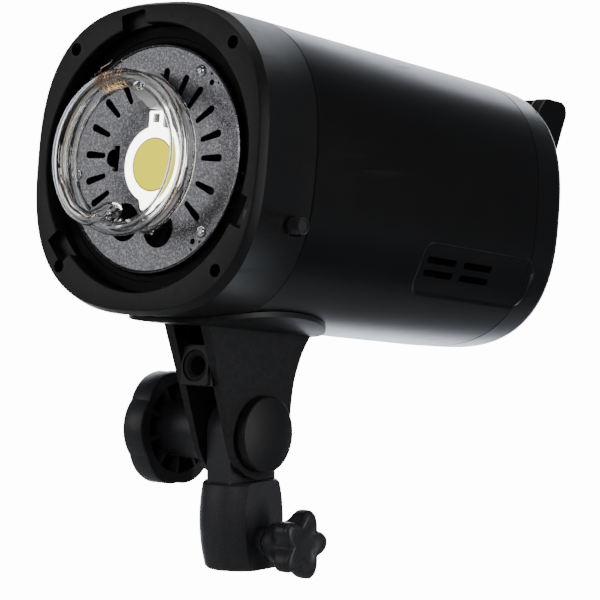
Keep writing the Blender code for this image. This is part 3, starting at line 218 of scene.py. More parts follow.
def swept(path: Array, radius: Array | float, sides: int = 16, ring: bool = False) -> Surface:
    """A round tube along a path. Each row is a circle square to the path's own direction, and
    its first spoke is the one before it with the new direction's share taken away.

    Args:
        path: rows of x, y, z.
        radius: one radius, or one for each row.
        sides: corners of the circle.
        ring: whether the path closes on itself.

    Returns:
        The closed tube.
    """
    path = np.asarray(path, float)
    radius = np.broadcast_to(np.asarray(radius, float), (len(path),))
    if ring:
        ahead = np.roll(path, -1, axis=0) - np.roll(path, 1, axis=0)
    else:
        ahead = np.gradient(path, axis=0)
    ahead /= np.linalg.norm(ahead, axis=1, keepdims=True)
    spoke = np.zeros_like(path)
    start = np.cross(ahead[0], (0.31, 0.95, 0.05))
    for row, way in enumerate(ahead):
        start = start - way * (start @ way)
        start = start / np.linalg.norm(start)
        spoke[row] = start
    other = np.cross(ahead, spoke)
    turn = np.linspace(0, 2 * np.pi, sides, endpoint=False)
    circle = spoke[:, None] * np.cos(turn)[None, :, None] + other[:, None] * np.sin(turn)[None, :, None]
    return skin(path[:, None] + circle * radius[:, None, None], ring=ring)


def smooth_path(points: Array, steps: int) -> Array:
    """A Catmull-Rom curve through points: each span is the cubic whose slopes at its ends are
    half the way between the neighbours.

    Args:
        points: rows of x, y, z.
        steps: points made for each span.

    Returns:
        The finer path, with the same two ends.
    """
    points = np.asarray(points, float)
    ends = np.concatenate((2 * points[:1] - points[1:2], points, 2 * points[-1:] - points[-2:-1]))
    a, b, c, d = (ends[i : len(ends) - 3 + i, None] for i in range(4))
    t = np.linspace(0, 1, steps, endpoint=False)[None, :, None]
    curve = b + 0.5 * t * (c - a) + t**2 * (a - 2.5 * b + 2 * c - 0.5 * d)
    curve = curve + t**3 * (1.5 * (b - c) + 0.5 * (d - a))
    return np.concatenate((curve.reshape(-1, 3), points[-1:]))


def polar(radius: Array | float, degrees: Array | float) -> Array:
    """Points at a radius and an angle from x towards y."""
    turn = np.radians(np.asarray(degrees, float))
    return np.column_stack(np.broadcast_arrays(radius * np.cos(turn), radius * np.sin(turn)))


def arc(centre: tuple[float, float], radius: float, start: float, end: float, count: int) -> Array:
    """Points on an arc round a centre, between two angles in degrees."""
    return polar(radius, np.linspace(start, end, count)) + np.array(centre)


def rounded_box_outline(width: float, height: float, corner: float, steps: int = 6) -> Array:
    """A rectangle about the origin with round corners, as four arcs joined by its sides."""
    x, y = width / 2 - corner, height / 2 - corner
    corners = ((x, y, 0), (-x, y, 90), (-x, -y, 180), (x, -y, 270))
    return np.concatenate([arc((a, b), corner, s, s + 90, steps) for a, b, s in corners])


def slot_outline(length: float, inner: float, outer: float, steps: int = 7) -> Array:
    """A slot with round ends of two widths, centred on the origin and running along x."""
    far = arc((length / 2 - outer / 2, 0), outer / 2, -90, 90, steps)
    near = arc((-length / 2 + inner / 2, 0), inner / 2, 90, 270, steps)
    return np.concatenate((far, near))


def lobed(radius: float, depth: float, lobes: int, sharpness: float, count: int, phase: float) -> Array:
    """A round outline with lobes: the radius falls by depth where a cosine of the lobes' number
    is low, and sharpness sets how narrow each lobe's crest is."""
    turn = np.linspace(0, 360, count, endpoint=False)
    wave = 0.5 + 0.5 * np.cos(np.radians(lobes * (turn - phase)))
    return polar(radius - depth * (1 - wave**sharpness), turn)


def superellipse(half_w: float, half_h: float, turns: Array, power: float) -> Array:
    """Points round a superellipse: in the direction t the radius is
    (|cos t / w|^p + |sin t / h|^p)^(-1/p)."""
    c, s = np.cos(turns), np.sin(turns)
    radius = (np.abs(c / half_w) ** power + np.abs(s / half_h) ** power) ** (-1 / power)
    return np.column_stack((radius * c, radius * s))


def eased(low: float, high: float, values: Array) -> Array:
    """0 below low and 1 above high, with an even start and end between them."""
    share = np.clip((values - low) / (high - low), 0, 1)
    return share * share * (3 - 2 * share)


# ---------------------------------------------------------------- making objects


def solid(name: str, surface: Surface, where: Frame = STAND, weld: float = 1e-6) -> bpy.types.Object:
    """An object at the origin whose place is in its mesh, welded and facing out.

    Args:
        name: the piece's name.
        surface: its points and faces, in the frame that where gives.
        where: the frame they are carried out of.
        weld: distance under which points become one.

    Returns:
        The new object.
    """
    mesh = bpy.data.meshes.new(name)
    mesh.from_pydata(where.place(surface.points).tolist(), [], surface.faces)
    work = bmesh.new()
    work.from_mesh(mesh)
    bmesh.ops.remove_doubles(work, verts=work.verts, dist=weld)
    bmesh.ops.recalc_face_normals(work, faces=work.faces)
    work.to_mesh(mesh)
    work.free()
    made = bpy.data.objects.new(name, mesh)
    bpy.context.scene.collection.objects.link(made)
    return made


def carve(target: bpy.types.Object, tool: bpy.types.Object, join: Join) -> bpy.types.Object:
    """Cuts, joins or crops a solid with another, which is then removed."""
    change = target.modifiers.new("carve", "BOOLEAN")
    change.operation = join.value
    change.solver = "EXACT"
    change.object = tool
    bpy.context.view_layer.update()
    graph = bpy.context.evaluated_depsgraph_get()
    mesh = bpy.data.meshes.new_from_object(target.evaluated_get(graph))
    target.modifiers.clear()
    old, target.data = target.data, mesh
    bpy.data.meshes.remove(old)
    bpy.data.objects.remove(tool)
    mesh.name = target.name
    return target


def cut(target: bpy.types.Object, surface: Surface, where: Frame) -> bpy.types.Object:
    """Cuts a surface's room out of a solid."""
    return carve(target, solid("tool", surface, where), Join.CUT)


def add(target: bpy.types.Object, surface: Surface, where: Frame) -> bpy.types.Object:
    """Joins a surface's solid to another."""
    return carve(target, solid("tool", surface, where), Join.ADD)


def soften(made: bpy.types.Object, width: float, steps: int = 2, angle: float = 38.0) -> bpy.types.Object:
    """Rounds the edges that turn by more than an angle."""
    change = made.modifiers.new("softened edges", "BEVEL")
    change.width = width
    change.segments = steps
    change.limit_method = "ANGLE"
    change.angle_limit = math.radians(angle)
    change.use_clamp_overlap = True
    change.harden_normals = True
    return made


def dress(
    made: bpy.types.Object,
    material: bpy.types.Material,
    body: str,
    replaces: tuple[str, ...] = (),
    sharp: float = 32.0,
) -> bpy.types.Object:
    """Gives a piece its finish and its CAD body.

    Args:
        made: the piece.
        material: its finish.
        body: the CAD body that it moves with.
        replaces: CAD nodes that it stands for.
        sharp: edges that turn by more than this many degrees stay crisp.

    Returns:
        The same piece.
    """
    made.data.materials.clear()
    made.data.materials.append(material)
    made.data.shade_smooth()
    made.data.set_sharp_from_angle(angle=math.radians(sharp))
    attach(made, body)
    if replaces:
        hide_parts(*replaces)
    log.info("%s: %d faces on %s", made.name, len(made.data.polygons), body)
    return made


# ---------------------------------------------------------------- shader groups


class Wiring:
    """Adds and joins the nodes of one shader tree."""

    def __init__(self, tree: bpy.types.NodeTree) -> None:
        """Starts on a tree."""
        self.tree = tree

    def node(self, kind: str, settings: dict | None = None, **inputs: object) -> bpy.types.Node:
        """Adds a node, sets its own settings and fills or links its inputs.

        Args:
            kind: the node's type name without its common start.
            settings: attributes of the node.
            inputs: a value or another node's output for each socket, with _ for a space, or
                in0, in1 and so on for a socket by its number.

        Returns:
            The new node.
        """
        made = self.tree.nodes.new(kind if kind.startswith("Node") else f"ShaderNode{kind}")
        for name, value in (settings or {}).items():
            setattr(made, name, value)
        for name, value in inputs.items():
            numbered = name.startswith("in") and name[2:].isdigit()
            socket = made.inputs[int(name[2:]) if numbered else name.replace("_", " ")]
            if isinstance(value, bpy.types.NodeSocket):
                self.tree.links.new(value, socket)
            else:
                socket.default_value = value
        return made

    def math(self, operation: str, a: object, b: object = 0.0, clamp: bool = False) -> bpy.types.NodeSocket:
        """The result of one sum on two values."""
        node = self.node("Math", {"operation": operation, "use_clamp": clamp}, in0=a, in1=b)
        return node.outputs[0]

    def ramp(self, value: object, stops: list[tuple[float, object]]) -> bpy.types.NodeSocket:
        """A colour read from a ramp of (place, colour or grey) stops."""
        node = self.node("ValToRGB", None, in0=value)
        band = node.color_ramp
        while len(band.elements) < len(stops):
            band.elements.new(0.5)
        for element, (place, colour) in zip(band.elements, stops):
            grey = isinstance(colour, (int, float))
            element.position = place
            element.color = (colour, colour, colour, 1) if grey else (*colour, 1)
        return node.outputs["Color"]

    def mix(self, share: object, first: object, second: object) -> bpy.types.NodeSocket:
        """A colour between two, by a share."""
        node = self.node("Mix", {"data_type": "RGBA"})
        for name, value in (("Factor_Float", share), ("A_Color", first), ("B_Color", second)):
            socket = next(s for s in node.inputs if s.identifier == name)
            if isinstance(value, bpy.types.NodeSocket):
                self.tree.links.new(value, socket)
            else:
                socket.default_value = value
        return next(s for s in node.outputs if s.identifier == "Result_Color")

    def spread(self, value: object, low: float, high: float) -> bpy.types.NodeSocket:
        """A 0 to 1 value carried to a range."""
        node = self.node("MapRange", None, Value=value, To_Min=low, To_Max=high)
        return node.outputs["Result"]


def new_group(name: str, inputs: dict[str, float], outputs: tuple[str, ...]) -> tuple:
    """A shader node group with number inputs and outputs.

    Args:
        name: the group's name.
        inputs: each input's name and usual value.
        outputs: each output's name.

    Returns:
        The group, its wiring, its input node and its output node.
    """
    group = bpy.data.node_groups.new(name, "ShaderNodeTree")
    for label, usual in inputs.items():
        socket = group.interface.new_socket(name=label, in_out="INPUT", socket_type="NodeSocketFloat")
        socket.default_value = usual
    for label in outputs:
        group.interface.new_socket(name=label, in_out="OUTPUT", socket_type="NodeSocketFloat")
    wiring = Wiring(group)
    return group, wiring, wiring.node("NodeGroupInput"), wiring.node("NodeGroupOutput")


def moulded_grain() -> bpy.types.NodeTree:
    """The fine spark-eroded grain of a moulding: small cells over a finer noise. Scale is cells a
    metre. It puts out the grain's height and a soft mask of its high spots."""
    group, wire, given, out = new_group("moulded grain", {"Scale": 1600.0}, ("Height", "High spots"))
    place = wire.node("TexCoord").outputs["Object"]
    cells = wire.node("TexVoronoi", {"feature": "SMOOTH_F1"}, Vector=place, Scale=given.outputs["Scale"])
    fine = wire.node("TexNoise", None, Vector=place, Scale=given.outputs["Scale"], Detail=3.0)
    height = wire.math("ADD", wire.math("MULTIPLY", cells.outputs["Distance"], 0.7), fine.outputs[0])
    wire.tree.links.new(height, out.inputs["Height"])
    high = wire.math("MULTIPLY", wire.math("SUBTRACT", height, 0.75), 3.0, True)
    wire.tree.links.new(high, out.inputs["High spots"])
    return group


def handling() -> bpy.types.NodeTree:
    """The uneven shine of a handled surface: broad smears and short fine scratches. Base is the
    plain roughness and Spread how far it wanders. It puts out the roughness and the scratches."""
    inputs = {"Base": 0.35, "Spread": 0.10, "Scratches": 0.05}
    group, wire, given, out = new_group("handling", inputs, ("Roughness", "Scratch"))
    place = wire.node("TexCoord").outputs["Object"]
    broad = wire.node("TexNoise", None, Vector=place, Scale=38.0, Detail=4.0, Roughness=0.62)
    wander = wire.math("SUBTRACT", broad.outputs[0], 0.5)
    wander = wire.math("MULTIPLY", wander, given.outputs["Spread"])
    lines = []
    for turn, scale in ((0.5, 240.0), (2.1, 310.0)):
        laid = wire.node("Mapping", None, Vector=place, Rotation=(turn, 0.4, turn), Scale=(1.0, 0.03, 1.0))
        noise = wire.node("TexNoise", None, Vector=laid.outputs[0], Scale=scale, Detail=2.0)
        line = wire.math("SUBTRACT", noise.outputs[0], 0.66)
        lines.append(wire.math("MULTIPLY", line, 12.0, True))
    both = wire.math("MAXIMUM", lines[0], lines[1])
    scratch = wire.math("MULTIPLY", both, given.outputs["Scratches"])
    total = wire.math("ADD", wire.math("ADD", given.outputs["Base"], wander), scratch)
    wire.tree.links.new(total, out.inputs["Roughness"])
    wire.tree.links.new(scratch, out.inputs["Scratch"])
    return group


def edge_wear() -> bpy.types.NodeTree:
    """Rubbed edges: where the surface turns outwards, broken up by a noise. Amount scales it."""
    group, wire, given, out = new_group("edge wear", {"Amount": 0.5}, ("Mask",))
    crest = wire.node("NewGeometry").outputs["Pointiness"]
    crest = wire.math("MULTIPLY", wire.math("SUBTRACT", crest, 0.515), 14.0, True)
    place = wire.node("TexCoord").outputs["Object"]
    noise = wire.node("TexNoise", None, Vector=place, Scale=420.0, Detail=4.0)
    broken = wire.math("MULTIPLY", wire.math("SUBTRACT", noise.outputs[0], 0.35), 2.4, True)
    mask = wire.math("MULTIPLY", wire.math("MULTIPLY", crest, broken), given.outputs["Amount"])
    wire.tree.links.new(mask, out.inputs["Mask"])
    return group


def settled_dust() -> bpy.types.NodeTree:
    """A thin film of dust on what faces up, in small clots. Amount scales it."""
    group, wire, given, out = new_group("settled dust", {"Amount": 0.05}, ("Mask",))
    facing = wire.node("SeparateXYZ", None, in0=wire.node("NewGeometry").outputs["Normal"])
    up = wire.math("MULTIPLY", facing.outputs["Z"], 1.0, True)
    place = wire.node("TexCoord").outputs["Object"]
    noise = wire.node("TexNoise", None, Vector=place, Scale=900.0, Detail=5.0, Roughness=0.7)
    clots = wire.math("MULTIPLY", wire.math("SUBTRACT", noise.outputs[0], 0.45), 2.2, True)
    mask = wire.math("MULTIPLY", wire.math("MULTIPLY", up, clots), given.outputs["Amount"])
    wire.tree.links.new(mask, out.inputs["Mask"])
    return group


@dataclass
class Effects:
    """The effects that several finishes share, each built once."""

    grain: bpy.types.NodeTree = field(default_factory=moulded_grain)
    handling: bpy.types.NodeTree = field(default_factory=handling)
    wear: bpy.types.NodeTree = field(default_factory=edge_wear)
    dust: bpy.types.NodeTree = field(default_factory=settled_dust)


# ---------------------------------------------------------------- finishes


Colour = tuple[float, float, float]


def shader_of(name: str) -> tuple[bpy.types.Material, Wiring, bpy.types.Node]:
    """A new material with its wiring and its Principled shader."""
    material = bpy.data.materials.new(name)
    material.use_nodes = True
    wire = Wiring(material.node_tree)
    return material, wire, material.node_tree.nodes["Principled BSDF"]


def grouped(wire: Wiring, group: bpy.types.NodeTree, **inputs: object) -> bpy.types.Node:
    """A shader group placed in a material, with its own values."""
    return wire.node("Group", {"node_tree": group}, **inputs)


@dataclass(frozen=True)
class Plastic:
    """A moulded plastic or rubber finish."""

    name: str
    colour: Colour
    roughness: float
    grain_scale: float = 1600.0
    grain_depth: float = 0.000010
    spread: float = 0.10
    scratches: float = 0.06
    wear: float = 0.35
    worn: Colour = (0.045, 0.045, 0.05)
    dust: float = 0.010
    specular: float = 0.5
    coat: float = 0.0

    def material(self, effects: Effects) -> bpy.types.Material:
        """Base colour lightened where rubbed or dusty, a wandering roughness and a grain."""
        material, wire, shader = shader_of(self.name)
        links = wire.tree.links
        grain = grouped(wire, effects.grain, Scale=self.grain_scale)
        shine = grouped(
            wire, effects.handling, Base=self.roughness, Spread=self.spread, Scratches=self.scratches
        )
        rubbed = grouped(wire, effects.wear, Amount=self.wear)
        film = grouped(wire, effects.dust, Amount=self.dust)
        high = tuple(min(1.0, part * 1.35 + 0.002) for part in self.colour)
        colour = wire.mix(grain.outputs["High spots"], (*self.colour, 1), (*high, 1))
        colour = wire.mix(rubbed.outputs["Mask"], colour, (*self.worn, 1))
        colour = wire.mix(film.outputs["Mask"], colour, (0.42, 0.41, 0.40, 1))
        links.new(colour, shader.inputs["Base Color"])
        links.new(shine.outputs["Roughness"], shader.inputs["Roughness"])
        bump = wire.node("Bump", None, Height=grain.outputs["Height"], Distance=self.grain_depth,
                         Strength=1.0)
        links.new(bump.outputs["Normal"], shader.inputs["Normal"])
        shader.inputs["Specular IOR Level"].default_value = self.specular
        shader.inputs["Coat Weight"].default_value = self.coat
        return material


@dataclass(frozen=True)
class Metal:
    """A plain, brushed or plated metal finish."""

    name: str
    colour: Colour
    roughness: float
    spread: float = 0.12
    scratches: float = 0.15
    tarnish: Colour = (0.20, 0.19, 0.18)
    tarnished: float = 0.25
    brush: tuple[float, float, float] = (1.0, 1.0, 1.0)
    depth: float = 0.000006

    def material(self, effects: Effects) -> bpy.types.Material:
        """Metal with brush lines, tarnish in patches and a wandering roughness."""
        material, wire, shader = shader_of(self.name)
        links = wire.tree.links
        place = wire.node("TexCoord").outputs["Object"]
        laid = wire.node("Mapping", None, Vector=place, Scale=self.brush)
        brush = wire.node("TexNoise", None, Vector=laid.outputs[0], Scale=1300.0, Detail=3.0)
        patch = wire.node("TexNoise", None, Vector=place, Scale=160.0, Detail=5.0, Roughness=0.6)
        patches = wire.math("MULTIPLY", wire.math("SUBTRACT", patch.outputs[0], 0.48), 3.0, True)
        patches = wire.math("MULTIPLY", patches, self.tarnished)
        colour = wire.mix(patches, (*self.colour, 1), (*self.tarnish, 1))
        shine = grouped(
            wire, effects.handling, Base=self.roughness, Spread=self.spread, Scratches=self.scratches
        )
        links.new(colour, shader.inputs["Base Color"])
        links.new(wire.math("ADD", shine.outputs["Roughness"], wire.math("MULTIPLY", patches, 0.3)),
                  shader.inputs["Roughness"])
        shader.inputs["Metallic"].default_value = 1.0
        bump = wire.node("Bump", None, Height=brush.outputs[0], Distance=self.depth, Strength=1.0)
        links.new(bump.outputs["Normal"], shader.inputs["Normal"])
        return material


@dataclass(frozen=True)
class Pebbled:
    """Aluminium sheet rolled with a pebble pattern."""

    name: str = "pebbled reflector"
    colour: Colour = (0.34, 0.34, 0.36)
    # low is the colour of the painted shade in the low spots between the pebbles.
    low: Colour = (0.11, 0.11, 0.12)
    roughness: float = 0.26
    pebbles: float = 1250.0
    depth: float = 0.00011

    def material(self, effects: Effects) -> bpy.types.Material:
        """Rounded pebbles from two noises: they raise the surface, and the low spots between them are
        darkened with painted shade.
        """
        material, wire, shader = shader_of(self.name)
        links = wire.tree.links
        place = wire.node("TexCoord").outputs["Object"]
        coarse = wire.node("TexNoise", None, Vector=place, Scale=self.pebbles, Detail=1.5, Roughness=0.45)
        cells = wire.node("TexVoronoi", {"feature": "SMOOTH_F1"}, Vector=place, Scale=self.pebbles * 0.9)
        height = wire.math("SUBTRACT", coarse.outputs[0],
                           wire.math("MULTIPLY", cells.outputs["Distance"], 0.35))
        # Painted shade: the low spots between the pebbles take the darker colour low, and the crests keep
        # colour.
        clear_of_painted_shade = wire.spread(height, -0.6, 1.6)
        colour = wire.mix(wire.math("MULTIPLY", clear_of_painted_shade, 1.0, True), (*self.low, 1), (*self.colour, 1))
        links.new(colour, shader.inputs["Base Color"])
        shine = grouped(wire, effects.handling, Base=self.roughness, Spread=0.10, Scratches=0.10)
        links.new(shine.outputs["Roughness"], shader.inputs["Roughness"])
        shader.inputs["Metallic"].default_value = 1.0
        bump = wire.node("Bump", None, Height=height, Distance=self.depth, Strength=1.0)
        links.new(bump.outputs["Normal"], shader.inputs["Normal"])
        return material


@dataclass(frozen=True)
class Glass:
    """Clear drawn glass with faint draw lines and a breath of soot."""

    name: str
    tint: Colour = (1.0, 1.0, 1.0)
    roughness: float = 0.015
    ior: float = 1.47

    def material(self, effects: Effects) -> bpy.types.Material:
        """Full transmission, with ripples a few tenths of a millimetre apart in its normal."""
        material, wire, shader = shader_of(self.name)
        links = wire.tree.links
        place = wire.node("TexCoord").outputs["Object"]
        ripple = wire.node("TexNoise", None, Vector=place, Scale=120.0, Detail=1.0)
        smear = wire.node("TexNoise", None, Vector=place, Scale=90.0, Detail=4.0)
        soot = wire.math("MULTIPLY", wire.math("SUBTRACT", smear.outputs[0], 0.66), 0.8, True)
        colour = wire.mix(soot, (*self.tint, 1), (0.80, 0.78, 0.76, 1))
        links.new(colour, shader.inputs["Base Color"])
        rough = wire.math("ADD", wire.math("MULTIPLY", soot, 0.25), self.roughness)
        links.new(rough, shader.inputs["Roughness"])
        shader.inputs["IOR"].default_value = self.ior
        shader.inputs["Transmission Weight"].default_value = 1.0
        bump = wire.node("Bump", None, Height=ripple.outputs[0], Distance=0.000008, Strength=1.0)
        links.new(bump.outputs["Normal"], shader.inputs["Normal"])
        return material


@dataclass(frozen=True)
class Ceramic:
    """White fired ceramic, faintly speckled, with an optional glow: the lit digits' own light, and painted
    glow on the lamp base and the phosphor.
    """

    name: str
    colour: Colour = (0.86, 0.86, 0.85)
    speck: Colour = (0.60, 0.58, 0.55)
    roughness: float = 0.38
    # glow is the emission strength: the digits' own light, and painted glow where the lamp base and the
    # phosphor carry it.
    glow: float = 0.0
    speck_scale: float = 700.0

    def material(self, effects: Effects) -> bpy.types.Material:
        """Pale body with darker specks and a slightly sandy surface."""
        material, wire, shader = shader_of(self.name)
        links = wire.tree.links
        place = wire.node("TexCoord").outputs["Object"]
        noise = wire.node("TexNoise", None, Vector=place, Scale=self.speck_scale, Detail=4.0)
        specks = wire.math("MULTIPLY", wire.math("SUBTRACT", noise.outputs[0], 0.60), 3.0, True)
        colour = wire.mix(specks, (*self.colour, 1), (*self.speck, 1))
        links.new(colour, shader.inputs["Base Color"])
        shine = grouped(wire, effects.handling, Base=self.roughness, Spread=0.12, Scratches=0.04)
        links.new(shine.outputs["Roughness"], shader.inputs["Roughness"])
        bump = wire.node("Bump", None, Height=noise.outputs[0], Distance=0.00002, Strength=1.0)
        links.new(bump.outputs["Normal"], shader.inputs["Normal"])
        if self.glow:
            links.new(colour, shader.inputs["Emission Color"])
            shader.inputs["Emission Strength"].default_value = self.glow
        return material


@dataclass(frozen=True)
class Board:
    """Lacquered circuit board with copper tracks and solder spots."""

    name: str = "circuit board"
    lacquer: Colour = (0.02, 0.11, 0.05)
    track: Colour = (0.05, 0.20, 0.09)
    solder: Colour = (0.55, 0.55, 0.54)

    def material(self, effects: Effects) -> bpy.types.Material:
        """Tracks from a brick pattern, solder spots from cell centres."""
        material, wire, shader = shader_of(self.name)
        links = wire.tree.links
        place = wire.node("TexCoord").outputs["Object"]
        bricks = wire.node("TexBrick", None, Vector=place, Scale=110.0, Mortar_Size=0.012,
                           Color1=(*self.lacquer, 1), Color2=(*self.lacquer, 1), Mortar=(*self.track, 1))
        cells = wire.node("TexVoronoi", None, Vector=place, Scale=190.0, Randomness=0.7)
        spots = wire.math("MULTIPLY", wire.math("SUBTRACT", 0.16, cells.outputs["Distance"]), 30.0, True)
        colour = wire.mix(spots, bricks.outputs["Color"], (*self.solder, 1))
        links.new(colour, shader.inputs["Base Color"])
        links.new(wire.spread(spots, 0.42, 0.25), shader.inputs["Roughness"])
        bump = wire.node("Bump", None, Height=spots, Distance=0.0002, Strength=0.8)
        links.new(bump.outputs["Normal"], shader.inputs["Normal"])
        return material


class Finish(Enum):
    """Every finish on the strobe."""

    CASING = Plastic("satin black casing", (0.0030, 0.0030, 0.0035), 0.30, 2200.0, 0.000004, wear=0.10,
                     specular=0.45)
    FACE = Plastic("black front moulding", (0.0050, 0.0050, 0.0056), 0.44, 1900.0, 0.000008, wear=0.25,
                   specular=0.30)
    # Black plastic kept darker and duller than the other mouldings: painted shade for the deep throat, and
    # the tube sockets wear it too.
    COLLAR_PAINTED_SHADE = Plastic("black bayonet collar", (0.0012, 0.0012, 0.0014), 0.55, 1900.0, 0.000006, wear=0.0,
                     dust=0.0, specular=0.12)
    BRACKET = Plastic("grained bracket plastic", (0.0080, 0.0080, 0.0092), 0.46, 1500.0, 0.00003, wear=0.30,
                      specular=0.35)
    ADAPTOR = Plastic("grained adaptor plastic", (0.026, 0.026, 0.030), 0.50, 1300.0, 0.00005, wear=0.40)
    KNOB = Plastic("knob plastic", (0.020, 0.020, 0.023), 0.42, 1600.0, 0.00002, wear=0.50)
    PANEL = Plastic("rear panel plastic", (0.022, 0.022, 0.025), 0.48, 1700.0, 0.00002)
    RUBBER = Plastic("soft rubber", (0.012, 0.012, 0.012), 0.70, 1400.0, 0.00002, dust=0.10, specular=0.35)
    SIGNAL = Plastic("red button plastic", (0.36, 0.025, 0.02), 0.36, 1700.0, 0.00001, worn=(0.5, 0.2, 0.18))
    PRINT = Plastic("pale printing", (0.62, 0.62, 0.62), 0.55, 2500.0, 0.000004, wear=0.0, dust=0.0)
    SLEEVE = Plastic("capacitor sleeve", (0.012, 0.022, 0.07), 0.30, 900.0, 0.00001, coat=0.4)
    SCREEN = Plastic("smoked display window", (0.006, 0.008, 0.010), 0.06, 500.0, 0.000001, 0.03, 0.04, 0.0,
                     coat=1.0)
    DIGITS = Ceramic("lit display digits", (0.95, 0.16, 0.08), (0.8, 0.1, 0.05), 0.4, 1.6)
    SENSOR = Glass("red sensor lens", (0.75, 0.05, 0.04), 0.03, 1.50)
    STEEL = Metal("zinc plated steel", (0.72, 0.73, 0.75), 0.24)
    BRIGHT = Metal("bright nickel", (0.86, 0.88, 0.90), 0.12, scratches=0.08, tarnished=0.10)
    BLACK_STEEL = Metal("black oxide steel", (0.07, 0.07, 0.075), 0.34, tarnish=(0.12, 0.10, 0.09))
    FINS = Metal("drawn aluminium", (0.62, 0.63, 0.64), 0.35, brush=(0.05, 1.0, 1.0))
    BRASS = Metal("brass", (0.72, 0.52, 0.24), 0.26)
    COPPER = Metal("varnished copper wire", (0.60, 0.42, 0.28), 0.30, tarnish=(0.34, 0.25, 0.18))
    NICKEL = Metal("electrode nickel", (0.80, 0.74, 0.70), 0.20, tarnish=(0.45, 0.36, 0.30), tarnished=0.5)
    PLATE = Pebbled()
    TUBE = Glass("tube glass")
    CERAMIC = Ceramic("white ceramic")
    # The lamp base and the phosphor below glow as painted light, to brighten their white and their yellow.
    LAMP = Ceramic("lamp base ceramic", (0.95, 0.94, 0.91), (0.92, 0.90, 0.88), 0.42, 7.0)
    PHOSPHOR_PAINTED_GLOW = Ceramic("lamp phosphor", (1.0, 0.90, 0.0), (1.0, 0.84, 0.0), 0.60, 1.0, 1500.0)
    BOARD = Board()


@dataclass
class Paintshop:
    """Makes each finish's material once and hands it out."""

    effects: Effects = field(default_factory=Effects)
    made: dict[Finish, bpy.types.Material] = field(default_factory=dict)

    def of(self, finish: Finish) -> bpy.types.Material:
        """The finish's material."""
        if finish not in self.made:
            self.made[finish] = finish.value.material(self.effects)
        return self.made[finish]


# ---------------------------------------------------------------- casing


